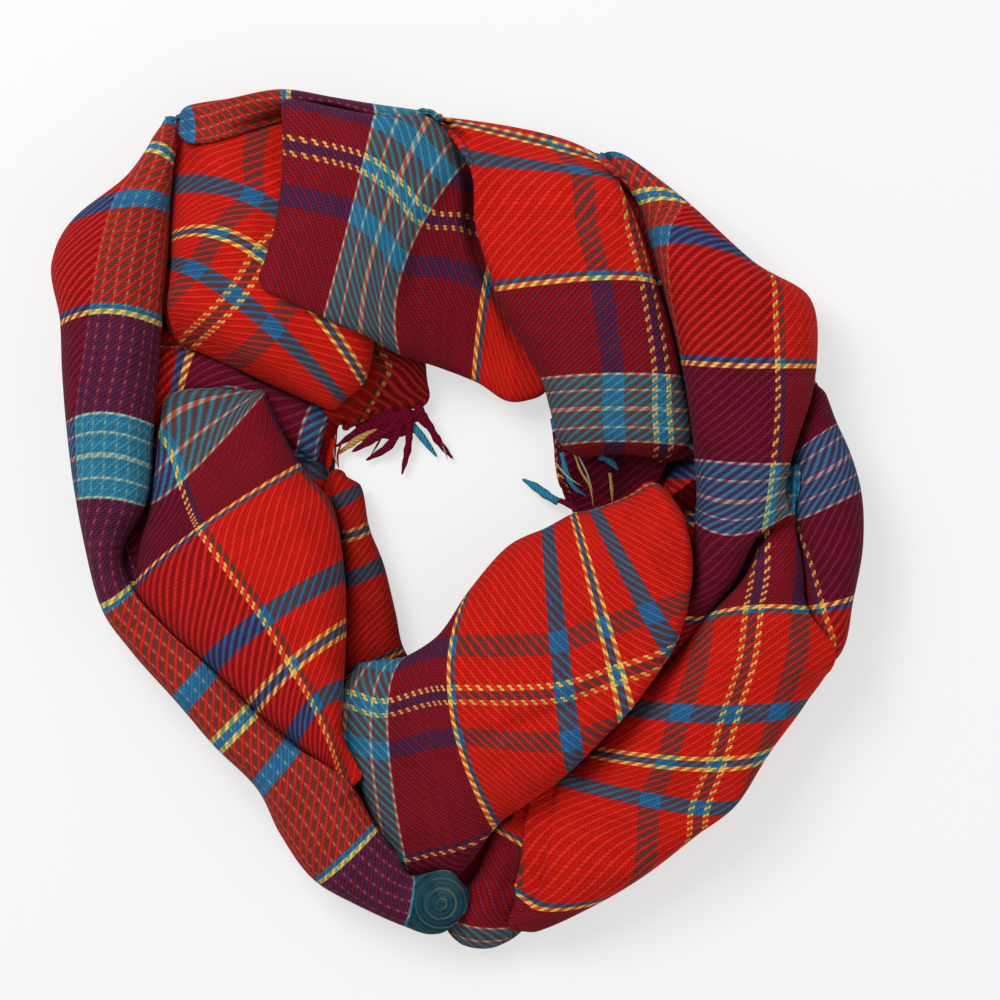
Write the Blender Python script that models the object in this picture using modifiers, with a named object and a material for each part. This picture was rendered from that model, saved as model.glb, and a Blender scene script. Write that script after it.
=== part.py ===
# Plaid scarf, dropped on a flat surface as a loose, twisted wreath.
#
# Metres, +Z up. The origin is the bottom centre of the heap, on the surface it lies on;
# seen from above, +X is to the right and +Y is up. All tables below are in millimetres.
#
# Each stretch of cloth that shows is one thin wall, lofted through a short table of
# sections. The stretches are then settled under one another from the top down, and the
# hidden layers beneath them are one rounded ring, layered at its edges.

import math
from collections import namedtuple

import bpy
import numpy as np
from mathutils import Vector
from mathutils.bvhtree import BVHTree

OBJECT_NAME = "plaid_scarf"
MM = 0.001

# Cloth, in millimetres
CLOTH_WALL = 2.0        # brushed wool twill, with its nap
FRINGE_WALL = 4.0       # twisted warp ends lying side by side
CLEARANCE = 0.5         # between one stretch and the one that lies on it
LOWEST_CLOTH = 4.2      # outer face of a stretch where it comes nearest the surface
LOWEST_WALL = 1.4       # underside of a wall, over the surface
LOWEST_CORE = 0.7       # top of the hidden layers where a stretch comes down to the surface
TUCK_ANGLE = 70         # degrees that a rolled side edge turns under
TIGHTEST_ROLL = 2.0     # least radius of a rolled side edge
WIDEST_ROLL = 0.35      # greatest radius of a rolled side edge, as a share of the width
REACH_DIP = 0.3         # fall of a hidden margin, per millimetre that it runs out
END_REACH = 0.3         # how much of a hidden margin is left at a rolled end
REACH_TAPER = 40.0      # distance from a rolled end over which a margin grows to its whole
CORNER_ROUNDING = 1.8   # corner radius at a rolled end, in radii of the roll
MOST_PULL = 0.45        # greatest pull of an edge at a corner, as a share of the way to the crown
SECTION_POINTS = 7      # across a stretch, from edge to edge
ROW_SPACING = 23.0      # along a stretch
SETTLE_STEP = 0.4       # how far points go down at a time while a stretch is settled
SETTLE_STEPS = 80
CORE_SETTLE_STEPS = 150
SETTLE_GAP = 0.3        # least height left between a stretch and the one over it

# Hidden layers, in millimetres
CORE_STATIONS = 44
CORE_HEIGHT = 58.0      # before it is lowered to carry the stretches
CORE_CROWN = (0.11, 0.89, 6)   # from and to these shares of the width, with this many points
CORE_POWER = 3.0        # shapes the crown: 2 is an ellipse, more is flatter on top
CORE_LAYER = 3.4        # half the thickness of one folded layer at the rim
CORE_STEP = 2.2         # how far each layer at the rim lies inside the one under it

Section = namedtuple("Section", "aX aY aZ crownX crownY crownZ bX bY bZ")
Margin = namedtuple("Margin", "kind size")


def roll(radius):
    """An edge that shows: it turns under with this radius."""
    return Margin("roll", radius)


def reach(distance):
    """An edge that is hidden: it runs on under its neighbour for this distance."""
    return Margin("reach", distance)


# One table for each stretch, a row for each section. Edge a and edge b are the two sides of
# the stretch and crown is the point between them, so each row reads
#   aX, aY, aZ,   crownX, crownY, crownZ,   bX, bY, bZ
# "power" shapes the section: 2 is an ellipse, more is flatter on top with steeper sides.
STRETCHES = {
    "left_roll": dict(power=2.5, a=roll(13), b=roll(4), start=roll(6), end=roll(6), colour="maroon",
        rows=[
        (-150,  194, 16,   -143,  200, 26,   -136,  197, 16),
        (-154,  184, 18,   -146,  183, 38,   -140,  178, 22),
        (-164,  170, 20,   -152,  171, 43,   -141,  166, 23),
        (-190,  149, 20,   -163,  157, 48,   -142,  155, 24),
        (-201,  128, 20,   -170,  134, 52,   -143,  131, 25),
        (-197,   98, 20,   -172,  104, 53,   -146,   98, 25),
        (-196,   74, 20,   -173,   78, 53,   -148,   73, 25),
        (-194,   48, 20,   -173,   53, 53,   -150,   47, 25),
        (-189,    9, 20,   -171,   10, 52,   -154,    6, 26),
        (-184,  -16, 20,   -176,  -15, 47,   -165,  -14, 26),
        (-176,  -45, 20,   -168,  -41, 46,   -160,  -34, 30),
        (-162,  -65, 20,   -153,  -60, 46,   -143,  -54, 32),
        (-138,  -92, 20,   -130,  -83, 47,   -122,  -73, 34),
        (-120, -113, 20,   -111, -104, 48,   -101,  -94, 35),
        ( -99, -134, 20,    -90, -123, 48,    -81, -111, 35),
        ( -88, -156, 20,    -73, -142, 47,    -56, -127, 32),
        ( -70, -180, 18,    -55, -167, 44,    -40, -152, 28),
        ( -53, -190, 17,    -40, -181, 39,    -29, -167, 25),
        ( -27, -202, 16,    -23, -189, 35,    -22, -176, 23),
        ( -11, -206, 17,     -7, -188, 37,     -6, -173, 23),
        (   3, -200, 20,      6, -188, 32,      4, -177, 22),
    ]),
    "inner_left": dict(power=2.5, a=reach(9), b=roll(9), start=roll(8), end=reach(6), colour="red",
        rows=[
        (-149,   45, 14,   -140,   63, 24,    -97,   65, 18),
        (-150,   25, 20,   -134,   44, 38,    -96,   64, 26),
        (-152,    7, 24,   -131,   22, 46,    -95,   62, 28),
        (-157,  -13, 26,   -129,    4, 52,    -86,   42, 28),
        (-159,  -33, 28,   -125,   -4, 55,    -77,   26, 26),
        (-144,  -54, 30,   -110,  -25, 57,    -62,    7, 26),
        (-123,  -72, 32,    -94,  -47, 58,    -56,  -25, 26),
        (-101,  -93, 33,    -80,  -71, 57,    -55,  -53, 27),
        ( -82, -109, 34,    -69,  -90, 54,    -56,  -84, 28),
        ( -66, -123, 33,    -60, -113, 46,    -56, -108, 30),
        ( -62, -128, 30,    -56, -126, 38,    -50, -120, 28),
    ]),
    "upper_left": dict(power=2.6, a=reach(8), b=roll(3), start=reach(4), end=roll(6), colour="red",
        rows=[
        (-138,  198, 12,   -106,  201, 22,    -72,  201, 20),
        (-138,  192, 12,   -106,  193, 30,    -64,  190, 24),
        (-141,  183, 14,   -103,  178, 40,    -44,  152, 26),
        (-142,  166, 17,    -91,  154, 48,    -40,  110, 25),
        (-142,  139, 21,    -96,  130, 50,    -46,   68, 20),
        (-142,  126, 23,   -109,  110, 48,    -56,   59, 18),
        (-143,  104, 25,   -125,   94, 42,    -63,   54, 17),
        (-144,   88, 20,   -122,   80, 30,    -72,   57, 15),
    ]),
    "top_edge": dict(power=2.4, a=roll(12), b=reach(4), start=roll(5), end=roll(3), colour="maroon",
        rows=[
        (-141,  204, 14,   -139,  197, 28,   -138,  186, 18),
        (-125,  207, 16,   -122,  200, 36,   -122,  188, 22),
        (-115,  208, 17,   -113,  203, 39,   -113,  192, 24),
        ( -87,  213, 18,    -87,  208, 40,    -86,  201, 26),
        ( -61,  209, 18,    -61,  206, 38,    -61,  203, 26),
        ( -42,  206, 18,    -41,  201, 38,    -40,  196, 28),
        ( -20,  203, 17,    -18,  197, 36,    -17,  188, 28),
        ( -12,  201, 17,    -11,  195, 34,     -9,  188, 27),
    ]),
    "top_flap": dict(power=2.8, a=roll(5), b=roll(3), start=roll(3), end=roll(4), colour="maroon",
        rows=[
        ( -98,  114, 38,    -87,  160, 50,    -87,  208, 36),
        ( -83,  107, 38,    -69,  156, 58,    -62,  203, 39),
        ( -66,   99, 38,    -52,  151, 60,    -41,  199, 40),
        ( -47,   91, 34,    -38,  140, 58,    -20,  196, 38),
        ( -28,   81, 30,    -25,  126, 54,      0,  172, 38),
        (  -9,   75, 22,     -5,  124, 40,     10,  158, 30),
        (   9,   68, 20,     15,  117, 32,     22,  138, 24),
        (  28,   58, 18,     31,   95, 28,     38,  112, 20),
        (  46,   62, 16,     48,   84, 22,     52,   98, 16),
    ]),
    "top_right": dict(power=2.6, a=roll(5), b=reach(15), start=roll(5), end=roll(8), colour="red",
        rows=[
        ( -17,  204, 16,     55,  185, 22,     76,  178, 18),
        (  -9,  197, 20,     57,  180, 30,     77,  175, 21),
        (   1,  178, 28,     60,  172, 42,     79,  169, 24),
        (   9,  144, 32,     64,  144, 50,     91,  142, 26),
        (  18,  115, 33,     70,  120, 53,     98,  118, 28),
        (  28,   92, 32,     74,   95, 54,    105,   96, 28),
        (  41,   70, 30,     77,   72, 53,    111,   71, 28),
        (  46,   53, 28,     77,   54, 50,    115,   53, 28),
        (  50,   36, 26,     78,   38, 44,    116,   36, 28),
        (  53,   28, 24,     78,   32, 36,    112,   28, 26),
    ]),
    "right_roll": dict(power=2.5, a=roll(7), b=roll(10), start=roll(4), end=reach(8), colour="maroon",
        rows=[
        (  68,  181, 16,     80,  182, 23,     91,  175, 15),
        (  88,  158, 26,    102,  160, 44,    115,  156, 20),
        (  95,  138, 30,    117,  139, 52,    147,  127, 20),
        ( 103,  108, 32,    136,  107, 58,    175,  109, 20),
        ( 110,   79, 32,    138,   77, 60,    178,   77, 20),
        ( 114,   54, 32,    139,   52, 60,    174,   59, 26),
        ( 117,   30, 32,    140,   28, 60,    164,   28, 34),
        ( 118,   12, 32,    139,    8, 60,    161,   14, 36),
        ( 117,   -2, 31,    137,   -8, 58,    162,    2, 38),
        ( 116,  -15, 30,    132,  -19, 55,    149,   -6, 38),
        ( 115,  -28, 30,    127,  -31, 52,    139,  -27, 38),
        ( 103,  -47, 28,    114,  -50, 42,    122,  -49, 37),
        (  86,  -66, 26,     96,  -70, 36,    103,  -71, 31),
        (  66,  -82, 24,     75,  -87, 30,     83,  -90, 26),
    ]),
    "right_broad": dict(power=2.5, a=reach(12), b=roll(12), start=reach(8), end=roll(5), colour="red",
        rows=[
        ( 148,   17, 32,    156,   18, 40,    167,   19, 28),
        ( 149,    0, 34,    157,    0, 48,    166,    1, 30),
        ( 142,  -27, 36,    150,  -26, 54,    170,  -23, 30),
        ( 123,  -48, 36,    145,  -44, 56,    173,  -45, 30),
        ( 104,  -72, 32,    142,  -68, 56,    186,  -66, 24),
        (  84,  -92, 28,    134,  -95, 54,    172,  -92, 20),
        (  66, -115, 26,    127, -120, 52,    156, -113, 20),
        (  51, -128, 26,    119, -142, 46,    138, -137, 20),
        (  46, -148, 24,     94, -158, 46,    116, -158, 20),
        (  37, -190, 20,     51, -192, 36,     75, -188, 16),
        (  24, -203, 14,     37, -205, 24,     48, -202, 12),
    ]),
    "right_edge": dict(power=2.5, a=reach(12), b=roll(12), start=roll(4), end=roll(3), colour="maroon",
        rows=[
        ( 171,   61, 16,    176,   67, 25,    181,   68, 17),
        ( 167,   48, 20,    177,   54, 38,    185,   56, 18),
        ( 164,   31, 22,    175,   40, 42,    188,   48, 20),
        ( 164,   15, 26,    179,   22, 47,    195,   32, 20),
        ( 165,   -2, 28,    181,    5, 50,    200,   14, 20),
        ( 169,  -21, 30,    185,  -18, 50,    201,  -11, 20),
        ( 173,  -45, 32,    184,  -43, 48,    196,  -40, 20),
        ( 177,  -66, 30,    184,  -66, 40,    190,  -66, 20),
        ( 168,  -74, 24,    174,  -78, 29,    179,  -79, 20),
    ]),
    "bottom_flap": dict(power=2.6, a=roll(11), b=roll(7), start=reach(10), end=roll(8), colour="red",
        rows=[
        ( -42,  -70, 22,    -54,  -91, 36,    -55, -120, 18),
        ( -21,  -66, 24,    -34,  -96, 44,    -23, -180,  9),
        (  -9,  -57, 26,    -17,  -92, 54,     -2, -178, 10),
        (   5,  -36, 28,     -2,  -90, 60,     20, -151, 24),
        (  24,  -14, 30,     24,  -89, 63,     36, -139, 33),
        (  44,   -4, 32,     52,  -85, 64,     58, -122, 38),
        (  57,    3, 33,     78,  -76, 62,     82,  -95, 42),
        (  67,    5, 34,     95,  -46, 62,    107,  -62, 42),
        (  86,   13, 36,    106,  -20, 60,    115,  -32, 42),
        (  97,   24, 34,    109,    6, 54,    116,   -4, 40),
    ]),
    "inner_strip": dict(power=2.4, a=reach(10), b=roll(9), start=roll(6), end=reach(8), colour="red",
        rows=[
        ( -68,   20,  8,    -61,   25, 12,    -53,   22,  8),
        ( -62,    8, 11,    -55,   11, 18,    -48,   16, 10),
        ( -58,   -9, 13,    -50,   -7, 22,    -44,   -4, 11),
        ( -57,  -31, 13,    -46,  -27, 24,    -37,  -22, 11),
        ( -58,  -53, 13,    -44,  -48, 24,    -31,  -46, 11),
        ( -59,  -78, 13,    -44,  -72, 22,    -27,  -64, 11),
        ( -60,  -92, 11,    -43,  -86, 18,    -22,  -73,  9),
    ]),
    "bottom_tuck": dict(power=2.4, a=reach(8), b=reach(8), start=reach(6), end=roll(8), colour="maroon",
        rows=[
        (  28, -136, 26,     41, -136, 36,     51, -133, 28),
        (  26, -147, 26,     37, -148, 36,     50, -148, 28),
        (  18, -152, 24,     29, -158, 34,     44, -168, 26),
        (   9, -176, 18,     23, -178, 30,     41, -183, 22),
        (  -4, -198, 14,     11, -202, 26,     30, -202, 16),
        (  -7, -210, 12,     11, -214, 18,     28, -212, 12),
    ]),
    "end_one": dict(power=2.4, a=reach(6), b=roll(4), start=reach(8), end=roll(3), colour="red",
        rows=[
        ( -64,   60, 10,    -42,   82, 20,    -16,   79, 12),
        ( -60,   50, 10,    -38,   70, 20,    -15,   68, 11),
        ( -54,   44,  8,    -40,   55, 16,    -14,   58,  9),
        ( -56,   38,  8,    -36,   47, 11,    -15,   50,  8),
    ]),
    "middle_ply": dict(power=2.2, a=reach(8), b=reach(8), start=reach(6), end=roll(3), colour="maroon",
        rows=[
        (-146,   87, 14,   -148,   66, 24,   -149,   44, 12),
        (-121,   82, 16,   -126,   72, 25,   -131,   60, 14),
        ( -98,   68, 16,   -100,   62, 25,   -103,   53, 14),
        ( -78,   60, 16,    -82,   50, 23,    -85,   38, 14),
        ( -60,   56, 14,    -66,   44, 20,    -70,   28, 12),
    ]),
    "end_two": dict(power=2.4, a=roll(3), b=reach(6), start=reach(8), end=reach(6), colour="maroon",
        rows=[
        (  47,   42, 20,     75,   46, 19,     99,   38, 20),
        (  49,   28, 18,     74,   28, 14,     97,   27, 18),
        (  53,   14, 14,     73,   11,  9,     90,   14, 14),
        (  58,    4, 10,     70,    0,  8,     82,    2, 10),
    ]),
}
# The fringes, as plain solids of their reach: from the cut end out to the tips.
FRINGES = {
    "fringe_one": dict(power=2, a=None, b=None, start=None, end=None, colour="maroon", rows=[
        ( -60,   38,  6,    -37,   45,  7,    -13,   48,  6),
        ( -66,   31,  6,    -36,   29,  7,     -4,   34,  6),
        ( -66,   28,  6,    -34,   23,  6,      1,   28,  6),
    ]),
    "fringe_two": dict(power=2, a=None, b=None, start=None, end=None, colour="teal", rows=[
        (  59,   11, 13,     60,    7, 13,     61,    3, 13),
        (  46,   15,  8,     47,   12,  8,     48,    9,  8),
        (  33,   20,  6,     34,   19,  6,     35,   17,  6),
    ]),
}

# What lies over each stretch, settled in this order. top_flap and top_right close the ring:
# top_flap passes under top_right where that one leaves it.
LIES_UNDER = {
    "left_roll": [],
    "top_flap": ["top_right"],
    "top_edge": ["left_roll", "top_flap"],
    "upper_left": ["left_roll", "top_edge", "top_flap"],
    "inner_left": ["left_roll", "upper_left"],
    "bottom_flap": ["left_roll", "inner_left"],
    "right_roll": ["bottom_flap"],
    "right_broad": ["bottom_flap", "right_roll"],
    "right_edge": ["right_roll", "right_broad"],
    "top_right": ["bottom_flap", "right_roll", "top_edge"],
    "end_one": ["top_flap", "upper_left"],
    "middle_ply": ["left_roll", "upper_left", "inner_left", "end_one"],
    "end_two": ["top_right", "bottom_flap", "right_roll"],
    "inner_strip": ["inner_left", "bottom_flap", "middle_ply"],
    "bottom_tuck": ["left_roll", "bottom_flap", "right_broad"],
    "fringe_one": ["upper_left", "inner_left", "middle_ply", "end_one", "inner_strip"],
    "fringe_two": ["top_right", "bottom_flap", "end_two"],
}

COLOURS = {
    "red": (0.62, 0.020, 0.010),
    "maroon": (0.150, 0.006, 0.022),
    "teal": (0.060, 0.200, 0.270),
}


def smooth(stations, places, values):
    """Values on a smooth curve through the given ones, at each of the places."""
    stations = np.asarray(stations, float)
    values = np.asarray(values, float)
    gaps = np.diff(stations)
    slopes = np.diff(values, axis=0) / gaps[:, None]
    tangents = np.zeros_like(values)
    tangents[0] = slopes[0]
    tangents[-1] = slopes[-1]
    before = gaps[:-1, None]
    after = gaps[1:, None]
    tangents[1:-1] = (slopes[:-1] * after + slopes[1:] * before) / (before + after)
    result = []
    for place in places:
        i = int(np.clip(np.searchsorted(stations, place) - 1, 0, len(stations) - 2))
        gap = gaps[i]
        s = (place - stations[i]) / gap
        point = (2 * s**3 - 3 * s**2 + 1) * values[i]
        point = point + (s**3 - 2 * s**2 + s) * gap * tangents[i]
        point = point + (3 * s**2 - 2 * s**3) * values[i + 1]
        point = point + (s**3 - s**2) * gap * tangents[i + 1]
        result.append(point)
    return np.array(result)


def row_distances(rows):
    """Distance along a stretch of each of its sections, by the middles of the sections."""
    middles = np.array(rows, float).reshape(-1, 3, 3).mean(axis=1)[:, :2]
    steps = np.linalg.norm(np.diff(middles, axis=0), axis=1)
    return np.concatenate([[0.0], np.cumsum(np.maximum(steps, 3.0))])


def end_stations(margin, length, at_start):
    """Places past or at an end of a stretch, and how far each lies below the section there."""
    if margin is None:
        return []
    if margin.kind == "roll":
        angles = np.radians([0, 45])
        insets = margin.size * (1 - np.cos(angles))
        drops = margin.size * (1 - np.sin(angles))
    else:
        insets = -margin.size * np.array([1.0, 0.5])
        drops = -insets * REACH_DIP
    if at_start:
        return list(zip(insets, drops))
    return [(length - inset, drop) for inset, drop in zip(insets[::-1], drops[::-1])]


def roll_radius(margin):
    return margin.size if margin is not None and margin.kind == "roll" else 0.0


def corner_pull(margin, distance):
    """How far the side edges draw in at this distance from an end, to round its corners."""
    if margin is None or margin.kind != "roll":
        return 0.0
    radius = CORNER_ROUNDING * margin.size
    short = min(max(radius - distance, 0.0), radius)
    return radius - math.sqrt(radius**2 - short**2)


def draw_in(section, pull):
    """Move both side edges of a section towards its crown."""
    crown = section[3:5].copy()
    for edge in (section[0:2], section[6:8]):
        way = crown - edge
        distance = max(np.linalg.norm(way), 1e-6)
        edge += way / distance * min(pull, distance * MOST_PULL)


def reach_share(stretch, place, length):
    """How much of a hidden margin is left at this distance along a stretch."""
    share = 1.0
    for margin, away in ((stretch["start"], place), (stretch["end"], length - place)):
        if margin is not None and margin.kind == "roll":
            share = min(share, END_REACH + max(away, 0.0) / REACH_TAPER)
    return share


def section_rows(stretch):
    """The sections of a stretch at even steps, with its two ends rolled or running on.

    With each go the distance that it drops at a rolled end, the share of its hidden margins
    that is left, and the ways its two edges run."""
    rows = np.array(stretch["rows"], float)
    stations = row_distances(stretch["rows"])
    length = stations[-1]
    first = roll_radius(stretch["start"])
    last = length - roll_radius(stretch["end"])
    count = max(4, round((last - first) / ROW_SPACING) + 1)
    places = [(place, 0.0) for place in np.linspace(first, last, count)]
    places = end_stations(stretch["start"], length, True) + places
    places += end_stations(stretch["end"], length, False)
    sections = smooth(stations, [min(max(place, 0.0), length) for place, _ in places], rows)
    first_step = (rows[0] - rows[1]) / (stations[1] - stations[0])
    last_step = (rows[-1] - rows[-2]) / (stations[-1] - stations[-2])
    for section, (place, _) in zip(sections, places):
        past = np.zeros(9)
        if place < 0:
            past = first_step * -place
        elif place > length:
            past = last_step * (place - length)
        past[2::3] = 0.0
        section += past
        pull = corner_pull(stretch["start"], place) + corner_pull(stretch["end"], length - place)
        draw_in(section, pull)
    ways = np.gradient(sections, axis=0)
    rows = []
    for section, way, (place, drop) in zip(sections, ways, places):
        ways_ab = [run[:2] / max(np.linalg.norm(run[:2]), 1e-6) for run in (way[:3], way[6:])]
        rows.append((section, drop, reach_share(stretch, place, length), ways_ab))
    return rows


def floor_height(x, y, lower):
    """Lowest height for a rolled edge here: on the surface, or on the stretches below it."""
    height = LOWEST_CLOTH
    for tree in lower:
        hit = tree.ray_cast(Vector((x, y, 200)), Vector((0, 0, -1)))[0]
        if hit is not None:
            height = max(height, hit.z + CLOTH_WALL + CLEARANCE)
    return height


def ceiling_height(x, y, upper):
    """Greatest height for cloth here: just under the lowest wall above the surface."""
    height = math.inf
    for tree in upper:
        hit = tree.ray_cast(Vector((x, y, -10)), Vector((0, 0, 1)))[0]
        if hit is not None:
            height = min(height, hit.z - CLEARANCE)
    return height


def held_between(point, drop, lower, upper):
    """A point with its height kept over what it lies on and under what lies over it."""
    x, y, z = point
    if drop:
        z = max(z - drop, floor_height(x, y, lower))
    return (x, y, max(min(z, ceiling_height(x, y, upper)), LOWEST_CLOTH))


def margin_points(edge, crown, way, width, margin, drop, left, lower):
    """Points past one side edge of a section, square to the way that the edge runs."""
    if margin is None:
        return []
    edge = np.array(edge)
    outward = edge[:2] - crown[:2]
    outward = outward - way * np.dot(outward, way)
    outward = outward / max(np.linalg.norm(outward), 1e-6)
    points = []
    if margin.kind == "roll":
        room = edge[2] - floor_height(*edge[:2], lower)
        radius = float(np.clip(min(room, width * WIDEST_ROLL), TIGHTEST_ROLL, margin.size))
        angle = TUCK_ANGLE * min(max((radius - TIGHTEST_ROLL) / 4, 0.0), 1.0)
        if drop:
            angle = 0.0
        for share in (0.5, 1.0):
            turn = math.radians(angle * share)
            inward = radius * (1 - math.cos(turn)) - TIGHTEST_ROLL / 2 * share
            fall = radius * (math.sin(turn) if angle > 20 else share)
            points.append((*(edge[:2] - outward * inward), edge[2] - fall))
    else:
        for share in (0.5, 1.0):
            distance = min(margin.size, width) * share * left
            points.append((*(edge[:2] + outward * distance), edge[2] - distance * REACH_DIP))
    return points


def section_points(values, drop, left, ways, stretch, lower, upper):
    """Points across one section, from the margin past edge a to the margin past edge b."""
    section = Section(*values)
    edge_a = np.array([section.aX, section.aY, section.aZ])
    crown = np.array([section.crownX, section.crownY, section.crownZ])
    edge_b = np.array([section.bX, section.bY, section.bZ])
    for edge in (edge_a, edge_b):
        edge[2] = max(edge[2], floor_height(*edge[:2], lower) + TIGHTEST_ROLL)
    power = stretch["power"]
    points = []
    for angle in np.radians(np.linspace(-90, 90, SECTION_POINTS)):
        q = math.sin(angle)
        height = max(1 - abs(q)**power, 0.0)**(1 / power)
        plan = crown[:2] + q * (edge_b - edge_a)[:2] / 2
        plan = plan + q * q * ((edge_a + edge_b)[:2] / 2 - crown[:2])
        edge_z = edge_a[2] + (edge_b[2] - edge_a[2]) * (q + 1) / 2
        point = (*plan, edge_z + height * (crown[2] - edge_z))
        points.append(held_between(point, drop, lower, upper))
    width = np.linalg.norm((edge_b - edge_a)[:2])
    past_a = margin_points(points[0], crown, ways[0], width, stretch["a"], drop, left, lower)
    past_b = margin_points(points[-1], crown, ways[1], width, stretch["b"], drop, left, lower)
    past_a = [held_between(point, 0.0, lower, upper) for point in past_a]
    past_b = [held_between(point, 0.0, lower, upper) for point in past_b]
    return past_a[::-1] + points + past_b


def two_triangles(points, a, b, c, d):
    """A four-sided face cut along its shorter diagonal."""
    if math.dist(points[a], points[c]) <= math.dist(points[b], points[d]):
        return [(a, b, c), (a, c, d)]
    return [(a, b, d), (b, c, d)]


def grid_faces(points, rows, columns):
    """Triangles of a grid of points, one row after another."""
    faces = []
    for i in range(rows - 1):
        for j in range(columns - 1):
            k = i * columns + j
            faces += two_triangles(points, k, k + 1, k + columns + 1, k + columns)
    return faces


def upward_faces(points, faces):
    """The same faces, turned round where most of them would point down."""
    total = 0.0
    for face in faces:
        a, b, c = (points[k] for k in face)
        total += (b[0] - a[0]) * (c[1] - a[1]) - (b[1] - a[1]) * (c[0] - a[0])
    if total < 0:
        return [face[::-1] for face in faces]
    return faces


def stretch_surface(stretch, lower, upper):
    """Points and faces of the outer surface of a stretch, over and under the given ones."""
    grid = [section_points(*row, stretch, lower, upper) for row in section_rows(stretch)]
    points = [point for row in grid for point in row]
    return points, upward_faces(points, grid_faces(points, len(grid), len(grid[0])))


def make_material(name, colour):
    material = bpy.data.materials.new(name)
    material.use_nodes = True
    shader = material.node_tree.nodes["Principled BSDF"]
    shader.inputs["Base Color"].default_value = (*colour, 1.0)
    shader.inputs["Roughness"].default_value = 0.9
    shader.inputs["Metallic"].default_value = 0.0
    return material


def make_object(name, points, faces, colour, collection):
    mesh = bpy.data.meshes.new(name)
    mesh.from_pydata([Vector(point) * MM for point in points], [], faces)
    mesh.update()
    mesh.shade_smooth()
    mesh.materials.append(make_material(name, COLOURS[colour]))
    piece = bpy.data.objects.new(name, mesh)
    collection.objects.link(piece)
    return piece


def make_stretch(name, stretch, wall, lower, upper, collection):
    """One stretch of cloth: an open surface through its sections, with a wall below it."""
    points, faces = stretch_surface(stretch, lower, upper)
    piece = make_object(name, points, faces, stretch["colour"], collection)
    solidify = piece.modifiers.new("wall", "SOLIDIFY")
    solidify.thickness = wall * MM
    solidify.offset = -1.0
    return piece


def wall_tree(piece, lift=0.0):
    """A search tree, in millimetres, over a piece as it is built, raised by a little."""
    graph = bpy.context.evaluated_depsgraph_get()
    graph.update()
    evaluated = piece.evaluated_get(graph)
    mesh = evaluated.to_mesh()
    points = [vertex.co / MM + Vector((0, 0, lift)) for vertex in mesh.vertices]
    mesh.calc_loop_triangles()
    faces = [tuple(triangle.vertices) for triangle in mesh.loop_triangles]
    evaluated.to_mesh_clear()
    return BVHTree.FromPolygons(points, faces, epsilon=0.0), faces


def settle(piece, upper, lowest):
    """Lower a piece's points by small steps until it is clear of the walls that lie over it."""
    vertices = piece.data.vertices
    touching = set()
    for _ in range(SETTLE_STEPS):
        piece.data.update()
        tree, faces = wall_tree(piece, SETTLE_GAP)
        touching = set()
        for other in upper:
            for index, _ in tree.overlap(other):
                touching.update(k % len(vertices) for k in faces[index])
        movable = [k for k in touching if vertices[k].co.z > lowest * MM]
        if not movable:
            break
        for k in movable:
            vertices[k].co.z = max(vertices[k].co.z - SETTLE_STEP * MM, lowest * MM)
    if touching:
        places = [tuple(round(c / MM) for c in vertices[k].co) for k in sorted(touching)[:6]]
        print("still touching:", piece.name, len(touching), places)


# The hidden layers, as a ring: a row for each place round it, with the point on the rim of the
# gap in the middle and the point on the outer rim, clockwise from the upper left.
#   innerX, innerY,   outerX, outerY
CORE_ROWS = [
    ( -52,   66,   -138,  194),
    ( -44,   72,   -110,  204),
    ( -34,   78,    -81,  206),
    ( -20,   83,    -43,  204),
    (  -4,   82,     -6,  193),
    (  12,   76,     36,  185),
    (  30,   68,     73,  170),
    (  48,   64,    108,  150),
    (  56,   56,    146,  120),
    (  58,   48,    168,  103),
    (  60,   38,    168,   78),
    (  62,   28,    178,   46),
    (  64,   16,    190,   14),
    (  62,    2,    189,  -30),
    (  52,  -10,    179,  -63),
    (  42,  -18,    161,  -89),
    (  32,  -27,    137, -123),
    (  24,  -36,    107, -150),
    (  17,  -46,     68, -178),
    (  10,  -56,     39, -194),
    (   0,  -66,      6, -204),
    ( -10,  -75,    -23, -192),
    ( -22,  -82,    -61, -173),
    ( -32,  -80,    -87, -134),
    ( -40,  -68,   -126,  -89),
    ( -44,  -52,   -162,  -45),
    ( -47,  -36,   -180,    4),
    ( -51,  -18,   -185,   48),
    ( -56,   -2,   -188,   97),
    ( -60,   14,   -184,  140),
    ( -62,   34,   -157,  162),
    ( -58,   54,   -146,  176),
]


def closed_curve(points, count):
    """Points at even steps round a smooth closed curve through the given ones."""
    points = np.array(points, float)
    padded = np.concatenate([points[-3:], points, points[:4]])
    steps = np.linalg.norm(np.diff(padded[:, 2:], axis=0), axis=1)
    stations = np.concatenate([[0.0], np.cumsum(steps)])
    first = stations[3]
    last = stations[3 + len(points)]
    return smooth(stations, np.linspace(first, last, count, endpoint=False), padded)


def core_profile(width):
    """Half-round layers at both rims and a crown between: (distance in, height) pairs."""
    layer = CORE_LAYER
    rim = [(1.2, 0.0), (0.0, layer), (CORE_STEP, 2 * layer), (CORE_STEP * 1.6, 3 * layer),
           (CORE_STEP * 3, 4 * layer)]
    crown = []
    for share in np.linspace(*CORE_CROWN):
        rise = (1 - abs(2 * share - 1)**CORE_POWER)**(1 / CORE_POWER)
        crown.append((share * width, 4 * layer + rise * (CORE_HEIGHT - 4 * layer)))
    outer = [(width - inset, height) for inset, height in rim]
    middle_of_base = (width / 2, 0.0)
    return rim + crown + outer[::-1] + [middle_of_base]


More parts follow.
